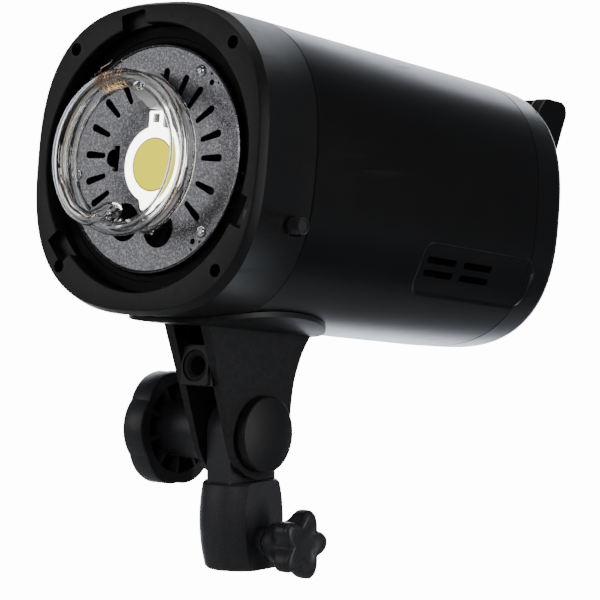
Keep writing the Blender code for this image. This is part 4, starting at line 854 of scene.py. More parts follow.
@dataclass
class Casing:
    """The head's front moulding, body, rear cover and grip."""

    shop: Paintshop
    throat_r: float = 0.059
    length: float = 0.236
    seam_front: float = 0.0397
    seam_rear: float = 0.212
    face: tuple[float, float] = (0.0649, 0.0672)
    collar: tuple[float, float] = (0.0660, 0.0687)
    waist: tuple[float, float] = (0.0644, 0.0684)
    back: tuple[float, float] = (0.0643, 0.0666)
    collar_depth: float = 0.0049
    face_block: float = 0.0075
    power: float = 2.65
    wall: float = 0.0025
    half_gap: float = 0.00017
    edge: float = 0.00035
    notch_angles: tuple[float, ...] = (101.5, 220.5, 337.8)
    vent_starts: tuple[float, ...] = (0.131, 0.160)
    vent_rows: tuple[float, ...] = (-0.0305, -0.0365)
    sink_centre: tuple[float, float] = (0.1715, -0.0345)
    sink_half: tuple[float, float] = (0.0455, 0.0118)
    sink_corner: float = 0.0070
    sink_depth: float = 0.0008

    def turns(self) -> Array:
        """Directions round a section: even, and four times as close over the vents' height."""
        fine = np.radians(np.concatenate((np.arange(-42, -12, 0.35), np.arange(192, 222, 0.35))))
        even = np.radians(np.arange(0, 360, 1.4))
        both = np.concatenate((fine % (2 * np.pi), even))
        both = np.unique(np.round(both, 5))
        return both[np.concatenate(([True], np.diff(both) > 0.0015))]

    def ring(self, half: tuple[float, float], y: float, power: float | None = None) -> Array:
        """One section at the depth y."""
        outline = superellipse(*half, self.turns(), power or self.power)
        return np.column_stack((outline[:, 0], np.full(len(outline), y), outline[:, 1]))

    def size_at(self, y: Array | float) -> tuple:
        """Half width and half height of the straight body at a depth."""
        share = np.clip((y - self.seam_front) / (self.seam_rear - self.seam_front), 0, 1)
        return tuple(a + (b - a) * share for a, b in zip(self.waist, self.back))

    def inset(self, half: tuple[float, float], by: float) -> tuple[float, float]:
        """A section's half sizes less a wall."""
        return half[0] - by, half[1] - by

    def sunk(self, rings: Array) -> Array:
        """Rings with the vents' panel pressed in on both sides. The panel is a round-cornered
        box in y and z, and the depth eases in over a millimetre across its edge."""
        y, z = rings[..., 1], rings[..., 2]
        dy = np.abs(y - self.sink_centre[0]) - self.sink_half[0] + self.sink_corner
        dz = np.abs(z - self.sink_centre[1]) - self.sink_half[1] + self.sink_corner
        outside = np.hypot(np.maximum(dy, 0), np.maximum(dz, 0))
        distance = outside + np.minimum(np.maximum(dy, dz), 0) - self.sink_corner
        depth = self.sink_depth * (1 - eased(-0.0006, 0.0006, distance))
        reach = np.hypot(rings[..., 0], rings[..., 2])
        shrink = 1 - depth / reach
        return np.stack((rings[..., 0] * shrink, y, z * shrink), axis=-1)

    def screw_places(self) -> list[tuple[float, float]]:
        """The four face screws, inside the section's corners."""
        x = self.face[0] * math.cos(0.8) ** (2 / self.power)
        z = self.face[1] * math.sin(0.8) ** (2 / self.power)
        share = 1 - (self.wall + 0.0026) / math.hypot(x, z)
        return [(side * x * share, up * z * share) for up in (1, -1) for side in (-1, 1)]

    def build_front(self) -> bpy.types.Object:
        """The front moulding: throat wall, flat face, chamfer, collar band and tapering skirt."""
        seam = self.seam_front - self.half_gap
        circle = (self.throat_r, self.throat_r)
        rings = [
            self.ring(circle, self.face_block + 0.001, 2.0),
            self.ring(circle, 0.0005, 2.0),
            self.ring(self.inset(circle, -0.0005), 0.0, 2.0),
            self.ring(self.inset(self.face, 0.0009), 0.0),
            self.ring(self.inset(self.face, 0.0005), 0.0001),
            self.ring(self.face, 0.0008),
            self.ring(self.inset(self.collar, 0.0002), self.collar_depth - 0.0004),
            self.ring(self.collar, self.collar_depth),
            self.ring(self.inset(self.collar, 0.00025), self.collar_depth + 0.0005),
            self.ring(self.waist, seam - self.edge),
            self.ring(self.inset(self.waist, self.edge), seam),
            self.ring(self.inset(self.waist, self.wall), seam),
            self.ring(self.inset(self.collar, self.wall), self.face_block),
        ]
        made = solid("front_moulding", skin(np.stack(rings), ring=True), HEAD)
        for angle in self.notch_angles:
            notch = prism(rounded_box_outline(0.0124, 0.0138, 0.0008), -0.0048, 0.004)
            spun = notch.points.copy()
            spun[:, :2] = self.spun(spun[:, :2] + (self.throat_r, 0.0), angle)
            cut(made, Surface(spun, notch.faces).laid(Axis.FRONT), HEAD)
        for x, z in self.screw_places():
            hole = prism(polar(0.0029, np.arange(0, 360, 9)), -0.0065, 0.004)
            cut(made, hole.moved(x, z).laid(Axis.FRONT), HEAD)
        width = self.side_at(-0.0265, self.waist)
        slot = slot_outline(0.006 + 0.0082, 0.0082, 0.0082, 15) + (0.0275 + 0.003, -0.0265)
        cut(made, prism(slot, width - 0.006, width + 0.006).laid(Axis.SIDE), HEAD)
        return soften(made, 0.00022, 1, 55.0)

    @staticmethod
    def spun(points: Array, degrees: float) -> Array:
        """Points in a plane turned about its origin."""
        c, s = math.cos(math.radians(degrees)), math.sin(math.radians(degrees))
        return points @ np.array(((c, s), (-s, c)))

    def side_at(self, z: float, half: tuple[float, float]) -> float:
        """The section's half width at a height."""
        return half[0] * (1 - (abs(z) / half[1]) ** self.power) ** (1 / self.power)

    def build_body(self) -> bpy.types.Object:
        """The straight body between the seams, with the vents' sunken panel and its slots."""
        start, end = self.seam_front + self.half_gap, self.seam_rear - self.half_gap
        depths = np.concatenate((
            [start + self.edge],
            np.linspace(start + 0.004, 0.122, 14),
            np.arange(0.1240, 0.1345, 0.0004),
            np.linspace(0.137, end - 0.004, 26),
            [end - self.edge],
        ))
        rings = [self.ring(self.size_at(y), y) for y in depths]
        rings.insert(0, self.ring(self.inset(self.size_at(start), self.edge), start))
        rings.append(self.ring(self.inset(self.size_at(end), self.edge), end))
        outer = self.sunk(np.stack(rings))
        inner = [self.ring(self.inset(self.size_at(y), self.wall), y) for y in (end, 0.126, start)]
        made = solid("body_casing", skin(np.concatenate((outer, np.stack(inner))), ring=True), HEAD)
        for side in (-1, 1):
            for y in self.vent_starts:
                for z in self.vent_rows:
                    outline = rounded_box_outline(0.0225, 0.0030, 0.0009) + (y + 0.01125, z)
                    low, high = sorted((side * 0.050, side * 0.075))
                    cut(made, prism(outline, low, high).laid(Axis.SIDE), HEAD)
        return made

    def build_cover(self) -> bpy.types.Object:
        """The rear cover: a rounded rim round the recess that holds the controls."""
        half = self.size_at(self.length)
        floor = self.inset(half, 0.0091)
        start = self.seam_rear + self.half_gap
        depths = np.concatenate(([start + self.edge], np.arange(0.2130, 0.2200, 0.0005)))
        rows = [(self.inset(half, self.edge), start)]
        rows += [(self.inset(half, 0.0006 * (y - start) / 0.018), y) for y in depths]
        rows += [(self.inset(half, 0.0006), 0.2300)]
        swing = np.radians(np.linspace(8, 90, 9))
        rows += [
            (self.inset(half, 0.0006 + 0.0040 * (1 - math.cos(a))),
             0.2300 + 0.0060 * math.sin(a)) for a in swing
        ]
        rows += [
            (self.inset(floor, -0.0014), self.length),
            (self.inset(floor, -0.0008), self.length - 0.0006),
            (floor, self.length - 0.0090),
            (self.inset(floor, 0.0045), self.length - 0.0090),
            (self.inset(floor, 0.0045), self.length - 0.0108),
            (self.inset(half, 0.0030), self.length - 0.0108),
            (self.inset(half, 0.0030), start),
        ]
        rings = np.stack([self.ring(size, y) for size, y in rows])
        return solid("rear_cover_rim", skin(self.sunk(rings), ring=True), HEAD)

    def build_grip(self) -> bpy.types.Object:
        """The grip: a side view carried across, with the room for fingers taken out."""
        foot, top = self.length + 0.0003, self.back[1] - 0.0050
        low = top - 0.036
        side = np.concatenate((
            [(foot, low), (foot + 0.0030, low + 0.0006)],
            arc((foot + 0.0150, low + 0.0075), 0.0040, -78, -20, 6),
            arc((foot + 0.0214, top - 0.0056), 0.0056, -14, 90, 12),
            [(foot + 0.0105, top), (foot + 0.0075, top - 0.0005), (foot + 0.0025, top - 0.0065),
             (foot, top - 0.0120)],
        ))
        made = solid("rear_grip", prism(side, -0.0440, 0.0440).laid(Axis.SIDE), HEAD)
        bar = foot + 0.0120
        room = np.concatenate((
            [(foot - 0.01, low - 0.02), (foot + 0.05, low - 0.02), (foot + 0.05, top - 0.0185)],
            arc((bar + 0.0030, top - 0.0155), 0.0030, 270, 180, 6),
            [(bar, top + 0.02), (foot - 0.01, top + 0.02)],
        ))
        cut(made, prism(room, -0.0360, 0.0360).laid(Axis.SIDE), HEAD)
        return soften(made, 0.0022, 4, 30.0)

    def build(self) -> None:
        """Builds and dresses every casing piece."""
        dress(self.build_front(), self.shop.of(Finish.FACE), "head", ("front_housing",), 30)
        dress(self.build_body(), self.shop.of(Finish.CASING), "head", ("body_shell",), 40)
        dress(self.build_cover(), self.shop.of(Finish.CASING), "head", ("rear_cover",), 40)
        dress(self.build_grip(), self.shop.of(Finish.CASING), "head", ("rear_handle",))
        head = turned(np.array([(0, 0), (0.0013, 0), (0.0020, 0.0001), (0.0023, 0.0005), (0.0023, 0.0020),
                                (0.0013, 0.0020),
                                (0.0013, 0.0095), (0, 0.0095)]), 32)
        hexagon = prism(polar(0.0013, np.arange(0, 360, 60)), -0.004, 0.0012)
        for number, (x, z) in enumerate(self.screw_places(), 1):
            made = solid(f"front_screw_{number}", head.laid(Axis.BACK).moved(x, 0.0035, z), HEAD)
            cut(made, hexagon.laid(Axis.BACK).moved(x, 0.0035, z), HEAD)
            dress(made, self.shop.of(Finish.BLACK_STEEL), "head", (f"face_screw_{number}",))


# ---------------------------------------------------------------- throat and lamp


def sheet_with_holes(name: str, loops: list[Array], low: float, high: float, axis: Axis,
                     where: Frame) -> bpy.types.Object:
    """A flat sheet filled between its outline and its holes.

    Args:
        name: the piece's name.
        loops: the outline, then the holes, each rows of two coordinates.
        low: height of its lower side.
        high: height of its upper side.
        axis: the way its height runs.
        where: the frame it is carried out of.

    Returns:
        The sheet as a mesh object at the origin.
    """
    curve = bpy.data.curves.new(name, "CURVE")
    curve.dimensions = "2D"
    curve.fill_mode = "BOTH"
    curve.extrude = (high - low) / 2
    for loop in loops:
        spline = curve.splines.new("POLY")
        spline.points.add(len(loop) - 1)
        spline.points.foreach_set("co",
                                  np.column_stack((loop, np.zeros(len(loop)), np.ones(len(loop)))).ravel())
        spline.use_cyclic_u = True
    source = bpy.data.objects.new(name, curve)
    bpy.context.scene.collection.objects.link(source)
    bpy.context.view_layer.update()
    mesh = bpy.data.meshes.new_from_object(source.evaluated_get(bpy.context.evaluated_depsgraph_get()))
    bpy.data.objects.remove(source)
    points = np.zeros(len(mesh.vertices) * 3)
    mesh.vertices.foreach_get("co", points)
    points = points.reshape(-1, 3) + (0, 0, (low + high) / 2)
    faces = [list(face.vertices) for face in mesh.polygons]
    bpy.data.meshes.remove(mesh)
    return solid(name, Surface(axis.lay(points), faces), where)


def hollowed(outer: bpy.types.Object, inner: bpy.types.Object) -> bpy.types.Object:
    """One mesh of an outer skin and an inner one that faces the hollow."""
    work = bmesh.new()
    work.from_mesh(inner.data)
    bmesh.ops.reverse_faces(work, faces=work.faces)
    work.from_mesh(outer.data)
    work.to_mesh(outer.data)
    work.free()
    bpy.data.objects.remove(inner)
    return outer


@dataclass
class Throat:
    """The bayonet ring, reflector plate and LED lamp inside the front."""

    shop: Paintshop
    plate_r: float = 0.0504
    plate_y: float = 0.0056
    plate_t: float = 0.0012
    slot_angles: tuple[float, ...] = (-42, -22, 0, 16, 33.5, 50, 65, 83, 103, 121, 139, 158.5, 177, 195, 211)
    slot_in: float = 0.0282
    slot_out: float = 0.0400
    socket_r: float = 0.0312
    socket_angles: tuple[float, float] = (-78.0, -116.0)
    screw_angles: tuple[float, ...] = (57.0, -45.0, 189.0)
    lamp_at: tuple[float, float] = (0.0020, -0.0028)
    lamp_r: float = 0.0168

    def build_plate(self) -> bpy.types.Object:
        """The plate: a disc with wedge slots, tube holes, lamp opening and punched marks."""
        loops = [polar(self.plate_r - 0.0003, np.arange(0, 360, 2.5))]
        middle, length = (self.slot_in + self.slot_out) / 2, self.slot_out - self.slot_in
        slot = slot_outline(length, 0.0024, 0.0034)
        loops += [Casing.spun(slot + (middle, 0.0), angle) for angle in self.slot_angles]
        loops += [polar(0.0085, np.arange(0, 360, 8)) + at for at in polar(self.socket_r, self.socket_angles)]
        loops.append(polar(self.lamp_r - 0.0014, np.arange(0, 360, 6)) + self.lamp_at)
        loops += [polar(0.0013, np.arange(0, 360, 24)) + at for at in polar(0.0450, (46.5, -53.0))]
        punched = polar(0.0475, (43.0, 50.0, -49.5, -56.0))
        loops += [polar(0.0006, np.arange(0, 360, 45)) + at for at in punched]
        bump = arc((-0.0233, 0.0003), 0.0039, 90, 270, 13)
        loops.append(np.concatenate(([(-0.0195, 0.0058), (-0.0233, 0.0058)], bump,
                                     [(-0.0233, -0.0056), (-0.0199, -0.0056)])))
        front, back = -self.plate_y, -self.plate_y - self.plate_t
        made = sheet_with_holes("reflector_sheet", loops, back, front, Axis.FRONT, HEAD)
        rim = np.array([
            (self.plate_r - 0.0014, front), (self.plate_r - 0.0012, front + 0.0006),
            (self.plate_r - 0.0006, front + 0.0009),
            (self.plate_r - 0.0001, front + 0.0006), (self.plate_r, front), (self.plate_r, back),
            (self.plate_r - 0.0014, back),
        ])
        return add(made, turned(rim, 180, True).laid(Axis.FRONT).moved(y=-0.00003), HEAD)

    def build_lamp(self) -> None:
        """The LED lamp: a ceramic base with a slotted tab, the phosphor disc and its dark dam."""
        tab = [(0.0026, 0.0230), (0.0022, 0.0235), (-0.0040, 0.0235), (-0.0044, 0.0230)]
        foot = [(-0.0058, -0.0190), (-0.0052, -0.0198), (0.0000, -0.0192)]
        outline = np.concatenate((polar(self.lamp_r, np.arange(-90, 82, 3.0)), tab,
                                  polar(self.lamp_r, np.arange(105, 249, 3.0)), foot))
        hole = rounded_box_outline(0.0050, 0.0042, 0.0005, 3) + (-0.0009, 0.0205)
        made = sheet_with_holes("lamp_base", [outline + self.lamp_at, hole + self.lamp_at], -0.0078,
                                -0.0044, Axis.FRONT, HEAD)
        soften(made, 0.0003, 2)
        # The base glows strongly: painted glow that keeps its white bright.
        dress(made, self.shop.of(Finish.LAMP), "head", ("led_holder",))
        dome = np.linspace(0, 1, 7)
        profile = np.concatenate((
            np.column_stack((0.0110 * dome, 0.0010 - 0.0003 * dome**2)),
            [(0.0113, 0.0004), (0.0113, -0.0002), (0, -0.0002)],
        ))
        x, z = self.lamp_at
        made = solid("lamp_phosphor", turned(profile).laid(Axis.FRONT).moved(x, 0.0044, z), HEAD)
        # The phosphor glows faintly: painted glow that lifts its yellow.
        dress(made, self.shop.of(Finish.PHOSPHOR_PAINTED_GLOW), "head", ("led_emitter",))
        dam = turned(arc((0.0116, 0.0002), 0.00034, 0, 330, 12), 96, True)
        made = solid("lamp_dam", dam.laid(Axis.FRONT).moved(x, 0.0044, z), HEAD)
        dress(made, self.shop.of(Finish.COPPER), "head", ())

    def build(self) -> None:
        """Builds and dresses the throat's pieces."""
        outer, inner = 0.0587, self.plate_r + 0.0003
        ring = np.array([
            (outer, 0.0082), (outer, 0.0168), (outer - 0.0004, 0.0170), (outer - 0.0022, 0.0170),
            (outer - 0.0022, 0.0110),
            (inner, 0.0110), (inner, 0.0088), (inner + 0.0006, 0.0082), (inner + 0.0028, 0.0080),
            (inner + 0.0031, 0.0076),
            (outer - 0.0003, 0.0076),
        ])
        made = solid("bayonet_collar", turned(ring, 180, True).laid(Axis.BACK), HEAD)
        # The collar's darker black is painted shade for the deep throat.
        dress(made, self.shop.of(Finish.COLLAR_PAINTED_SHADE), "head", ("bayonet_ring",), 25)
        dress(self.build_plate(), self.shop.of(Finish.PLATE), "head", ("reflector_plate",))
        self.build_lamp()
        screw = turned(np.array([
            (0, 0.0015), (0.0010, 0.00145), (0.0018, 0.0012), (0.0024, 0.0007), (0.0026, 0.0001),
            (0.0026, -0.0002),
            (0.0013, -0.0002), (0.0013, -0.0070), (0, -0.0070),
        ]), 40)
        cross = prism(rounded_box_outline(0.0026, 0.0006, 0.0001, 2), 0.0008, 0.003)
        for number, (x, z) in enumerate(polar(0.0450, self.screw_angles), 1):
            made = solid(f"reflector_screw_{number}", screw.laid(Axis.FRONT).moved(x, self.plate_y, z), HEAD)
            for spin in (20.0, 110.0):
                bar = Surface(np.column_stack((Casing.spun(cross.points[:, :2], spin), cross.points[:, 2])),
                              cross.faces)
                cut(made, bar.laid(Axis.FRONT).moved(x, self.plate_y, z), HEAD)
            dress(made, self.shop.of(Finish.BRIGHT), "head", (f"plate_screw_{number}",))


# ---------------------------------------------------------------- ring tube


@dataclass
class RingTube:
    """The glass ring tube with its electrodes, sockets, trigger winding and support pad."""

    shop: Paintshop
    ring_r: float = 0.0327
    tube_r: float = 0.00325
    bore_r: float = 0.00235
    pitch: float = 0.0070
    start: float = 0.0063
    socket_at: float = 0.0312
    angles: tuple[float, float] = (-78.0, -116.0)
    sweep: float = 13.0
    side_gap: float = 0.0012

    def at(self, radius: Array | float, degrees: Array | float, y: Array | float) -> Array:
        """Points round the lamp's line at a depth."""
        flat = polar(radius, degrees)
        return np.column_stack((flat[:, 0], np.broadcast_to(y, (len(flat),)), flat[:, 1]))

    def path(self) -> Array:
        """The tube's middle line: out of one socket, twice round as a helix and back inside."""
        first, last = self.angles[0], self.angles[1] + 720
        turn = np.linspace(first, last, 57)[2:-1]
        ring = self.at(self.ring_r, turn, -self.start - self.pitch * (turn - first) / 360)
        straight = -0.0015
        bend = np.array((0.0, 0.30, 0.60, 0.85))
        swing = bend * np.pi / 2
        entry = self.at(
            self.socket_at + (self.ring_r - self.socket_at) * bend,
            first + self.sweep * (1 - np.cos(swing)),
            straight + (-self.start - straight) * np.sin(swing),
        )
        foot = self.at(self.socket_at, self.angles[0], 0.0010)
        inner_r = self.ring_r - 2 * self.tube_r - self.side_gap
        end_y = -self.start - self.pitch * (last - first) / 360
        share = np.array((0.15, 0.40, 0.70, 1.0))
        swing = share * np.pi / 2
        leave = self.at(
            self.ring_r + (inner_r - self.ring_r) * share,
            last + self.sweep * np.sin(swing),
            end_y + 2 * self.tube_r * (1 - np.cos(swing)),
        )
        socket = self.at(self.socket_at, self.angles[1], straight)
        down = np.array((0.35, 0.60, 0.80))[:, None]
        blend = np.maximum(0, down - 0.45) / 0.35 * 0.9
        fall = leave[-1] + (socket - leave[-1]) * np.column_stack((blend, down, blend))
        end = self.at(self.socket_at, self.angles[1], 0.0010)
        return np.concatenate((foot, entry, ring, leave, fall, socket, end))

    def build_glass(self) -> bpy.types.Object:
        """The drawn tube: an outer skin and a bore, closed at both ends."""
        line = smooth_path(self.path(), 5)
        outer = solid("ring_tube_glass", swept(line, self.tube_r, 28), HEAD)
        inner = solid("bore", swept(line[4:-4], self.bore_r, 24), HEAD)
        return hollowed(outer, inner)

    def winding(self, start: float, end: float, loops: int, lean: float, seed: int) -> Array:
        """A wire wound round both turns of the tube: a flat oval loop about their middle, carried
        along the ring, with a wander made of three slow waves."""
        t = np.linspace(0, 1, loops * 28)
        loop = 2 * np.pi * loops * t
        wander = sum(np.sin(2 * np.pi * f * t + seed * f) for f in (3.1, 7.7, 12.3)) / 3
        turn = start + (end - start) * t + lean * np.sin(loop) + 1.6 * wander
        first = self.angles[0]
        middle = -self.start - self.pitch * ((start + end) / 2 - first) / 360 - self.pitch / 2
        across = self.tube_r + 0.0006 + 0.0003 * wander
        along = self.tube_r + self.pitch / 2 + 0.0006 + 0.0003 * wander
        return self.at(self.ring_r + across * np.cos(loop), turn, middle + along * np.sin(loop))

    def build_wires(self) -> None:
        """The trigger wire: two tangled windings, their loose ends and the run round the ring."""
        bottom = self.pitch / 2
        wire_r = self.ring_r + math.sqrt((self.tube_r + 0.0007) ** 2 - bottom**2)
        turn = self.angles[0] + 20 + np.linspace(0, 270, 120)
        run = self.at(wire_r, turn, -self.start - bottom - self.pitch * (turn - self.angles[0]) / 360)
        wires = swept(run, 0.00022, 8)
        for start, end, loops, lean, seed in ((100, 115, 11, 1.2, 2), (90, 104, 6, 4.6, 5),
                                              (104, 118, 5, 5.0, 9)):
            wires = wires.joined(swept(self.winding(start, end, loops, lean, seed), 0.00019, 8))
        for angle, reach, twist in ((117, 0.0060, 3.0), (112, 0.0075, -4.0), (96, 0.0055, 5.0),
                                    (120, 0.0048, 6.0)):
            t = np.linspace(0, 1, 14)
            end = self.at(self.ring_r + self.tube_r + reach * t, angle + twist * t * t,
                          -0.0135 - 0.003 * np.sin(5 * t))
            wires = wires.joined(swept(end, 0.0002, 6))
        made = solid("trigger_winding", wires, HEAD)
        dress(made, self.shop.of(Finish.COPPER), "head", ("trigger_wire",))

    def build(self) -> None:
        """Builds and dresses the tube and what holds it."""
        dress(self.build_glass(), self.shop.of(Finish.TUBE), "head", ("flash_tube",), 60)
        self.build_wires()
        line = smooth_path(self.path(), 5)
        for side, rows in (("right", slice(16, 44)), ("left", slice(-62, -34))):
            stretch = line[rows]
            swell = np.interp(np.linspace(0, 1, len(stretch)), (0, 0.12, 0.2, 0.72, 0.8, 1),
                              (0.6, 0.6, 1.9, 1.9, 0.7, 0.7))
            made = solid(f"electrode_tip_{side}", swept(stretch, swell * 0.001, 20), HEAD)
            dress(made, self.shop.of(Finish.NICKEL), "head", ())
        cup = turned(np.array([
            (0.0082, -0.0096), (0.0082, -0.0200), (0.0018, -0.0200), (0.0018, -0.0120), (0.0036, -0.0112),
            (0.0060, -0.0098),
            (0.0072, -0.0091),
        ]), 60, True)
        for side, (x, z) in zip(("right", "left"), polar(self.socket_at, self.angles)):
            made = solid(f"tube_cup_{side}", cup.laid(Axis.FRONT).moved(x, 0, z), HEAD)
            # The sockets take the collar's darker black: painted shade behind the plate.
            dress(made, self.shop.of(Finish.COLLAR_PAINTED_SHADE), "head", (f"tube_socket_{side}",))
        shape = Casing.spun(rounded_box_outline(0.0200, 0.0110, 0.0040, 8), -36.0)
        pad = prism(shape, -0.0053, 0.0055).laid(Axis.FRONT)
        made = soften(solid("tube_pad", pad.moved(0.0030, 0.0, self.ring_r - 0.0036), HEAD), 0.0008, 3)
        dress(made, self.shop.of(Finish.CERAMIC), "head", ("tube_support",))
        bead = np.radians(np.linspace(-90, 90, 15))
        profile = np.column_stack((0.0019 * np.cos(bead), 0.0032 * np.sin(bead)))[::-1]
        made = solid("tube_tip_off",
                     turned(profile, 32).laid(Axis.RIGHT).moved(0.0105, -0.0175, self.ring_r - 0.0045),
                     HEAD)
        dress(made, self.shop.of(Finish.TUBE), "head", (), 60)


# ---------------------------------------------------------------- release pin


@dataclass
class ReleaseCatch:
    """The pin on the side of the front moulding and the sprung plate behind it."""

    shop: Paintshop
    at: tuple[float, float, float] = (0.06238, 0.0275, -0.0265)

    def build(self) -> None:
        """Builds the pin with a turned end and the plate that it pulls."""
        x, y, z = self.at
        pin = np.array([
            (0, 0.0070), (0.0026, 0.0070), (0.0029, 0.0072), (0.0029, 0.0076), (0.0033, 0.0076),
            (0.0037, 0.0073),
            (0.0038, 0.0069), (0.0038, 0.0012), (0.0036, 0.0008), (0.0036, -0.0046), (0, -0.0046),
        ])
        made = solid("release_button", turned(pin, 64).laid(Axis.RIGHT).moved(x, y, z), HEAD)
        plate = prism(rounded_box_outline(0.0283, 0.0120, 0.0020) + (0.01815, z), x - 0.0066, x - 0.0044)
        add(made, plate.laid(Axis.SIDE), HEAD)
        dress(made, self.shop.of(Finish.KNOB), "release_catch", ("release_pin",), 25)


# ---------------------------------------------------------------- rear panel


@dataclass
class RearPanel:
    """The panel in the rear recess with its display, dial, buttons, switch, inlet and sockets."""

    shop: Paintshop
    face: float = 0.2293
    thick: float = 0.0020
    half: tuple[float, float] = (0.0541, 0.0564)
    power: float = 2.65
    dial: tuple[float, float] = (0.0, -0.0090)
    rocker: tuple[float, float] = (-0.0240, -0.0375)
    inlet: tuple[float, float] = (0.0070, -0.0395)
    fuse: tuple[float, float] = (0.0310, -0.0330)
    sync: tuple[float, float] = (-0.0390, 0.0080)
    sensor: tuple[float, float] = (0.0390, 0.0080)

    def out(self, surface: Surface, x: float, z: float, rise: float = 0.0) -> Surface:
        """A surface whose z leaves the panel, put at a place on it."""
        return surface.laid(Axis.BACK).moved(x, self.face + rise, z)

    def flat(self, outline: Array, low: float, high: float) -> Surface:
        """An outline in x and z carried back out of the panel between two heights."""
        return prism(outline, -high, -low).laid(Axis.FRONT).moved(y=self.face)

    def place(self, name: str, surface: Surface, finish: Finish, body: str, nodes: tuple[str, ...] = (),
              slot: str | None = None, sharp: float = 32.0) -> bpy.types.Object:
        """Makes, dresses and hands back one piece of the panel."""
        return dress(solid(name, surface, HEAD), self.shop.of(finish), body, nodes, sharp)

    def build_sheet(self) -> None:
        """The panel's own sheet with a hole for each control."""
        turns = np.radians(np.arange(0, 360, 2.0))
        rounds = (
            (0.0034, [self.dial]), (0.0046, [(s * 0.0270, z) for z in (-0.0010, -0.0160) for s in (-1, 1)]),
            (0.0052, [self.fuse]), (0.0049, [self.sync]), (0.0063, [self.sensor]),
        )
        loops = [superellipse(*self.half, turns, self.power)]
        loops += [polar(radius, np.arange(0, 360, 8)) + at for radius, places in rounds for at in places]
        loops.append(rounded_box_outline(0.0145, 0.0200, 0.0012) + self.rocker)
        loops.append(rounded_box_outline(0.0276, 0.0201, 0.0026) + self.inlet)
        made = sheet_with_holes("rear_panel", loops, -self.face, self.thick - self.face, Axis.FRONT, HEAD)
        soften(made, 0.00025, 2)
        dress(made, self.shop.of(Finish.PANEL), "head", ("control_panel",))

    def build_display(self) -> None:
        """The window, its raised frame and two lit digits, each lit from a set of seven bars."""
        frame_loop = [rounded_box_outline(0.0500, 0.0240, 0.0022),
                      rounded_box_outline(0.0456, 0.0196, 0.0012)]
        shift = np.array((0.0, 0.0200))
        made = sheet_with_holes("display_frame", [loop + shift for loop in frame_loop],
                                -self.face - 0.0016, -self.face - 0.0002, Axis.FRONT, HEAD)
        soften(made, 0.0003, 2)
        dress(made, self.shop.of(Finish.KNOB), "head", ())
        window = self.flat(rounded_box_outline(0.0454, 0.0194, 0.0010) + shift, 0.0003, 0.0013)
        self.place("display_glass", window, Finish.SCREEN, "head", ("display_window",), "screen")
        bars = {
            "top": ((0.0, 0.0046), False), "middle": ((0.0, 0.0), False), "bottom": ((0.0, -0.0046), False),
            "upper left": ((-0.0025, 0.0023), True), "upper right": ((0.0025, 0.0023), True),
            "lower left": ((-0.0025, -0.0023), True), "lower right": ((0.0025, -0.0023), True),
        }
        lit = (("upper left", "upper right", "middle", "lower right"),
               tuple(b for b in bars if b != "middle"))
        digits = Surface(np.zeros((0, 3)))
        for number, names in enumerate(lit):
            for bar in names:
                (x, z), upright = bars[bar]
                outline = rounded_box_outline(*((0.0008, 0.0036) if upright else (0.0040, 0.0008)), 0.0003, 3)
                lean = np.column_stack((outline[:, 0] + 0.12 * (outline[:, 1] + z), outline[:, 1]))
                at = np.array((x + 0.0055 - 0.0110 * number, z)) + shift
                digits = digits.joined(self.flat(lean * (-1, 1) + at, 0.0012, 0.0015))
        self.place("display_digits", digits, Finish.DIGITS, "head", (), "signal")

    def build_dial(self) -> None:
        """The dial with a knurled skirt, a dished face and a white line, and its scale."""
        turn = np.linspace(0, 2 * np.pi, 180, endpoint=False)
        knurl = 0.00018 * np.maximum(0, np.cos(36 * turn))
        rows = [(0.0030, -0.0060, 0), (0.0030, 0.0007, 0), (0.0104, 0.0007, 0), (0.0108, 0.0010, 0),
                (0.0110, 0.0016, 1),
                (0.0100, 0.0090, 1), (0.0096, 0.0104, 0.4), (0.0090, 0.0110, 0), (0.0082, 0.0110, 0),
                (0.0074, 0.0106, 0),
                (0.0030, 0.0104, 0), (0.0000, 0.0104, 0)]
        rings = []
        for radius, height, share in rows:
            r = np.maximum(radius - knurl * share, 0)
            rings.append(np.column_stack((r * np.cos(turn), r * np.sin(turn), np.full(len(turn), height))))
        base = skin(np.stack([rings[0] * (0, 0, 1)] + rings), capped=False)
        self.place("dial_knob", self.out(base, *self.dial), Finish.KNOB, "dial", ("control_dial",),
                   "casing", 40)
        x, z = self.dial
        line = self.flat(rounded_box_outline(0.0010, 0.0045, 0.0004) + (x, z + 0.0052), 0.0104, 0.01065)
        self.place("dial_line", line, Finish.PRINT, "dial")
        scale = Surface(np.zeros((0, 3)))
        for number, angle in enumerate(range(-50, 231, 28)):
            length = 0.0026 if number % 5 == 0 else 0.0016
            tick = rounded_box_outline(length, 0.0005, 0.0002, 2) + (0.0140, 0.0)
            scale = scale.joined(self.flat(Casing.spun(tick, angle) + self.dial, 0.0, 0.00012))
        for x, z in [(s * 0.0270, z) for z in (-0.0010, -0.0160) for s in (-1, 1)]:
            dot = polar(0.0006, np.arange(0, 360, 30)) + (x, z + 0.0066)
            scale = scale.joined(self.flat(dot, 0.0, 0.00012))
        self.place("panel_marks", scale, Finish.PRINT, "head")

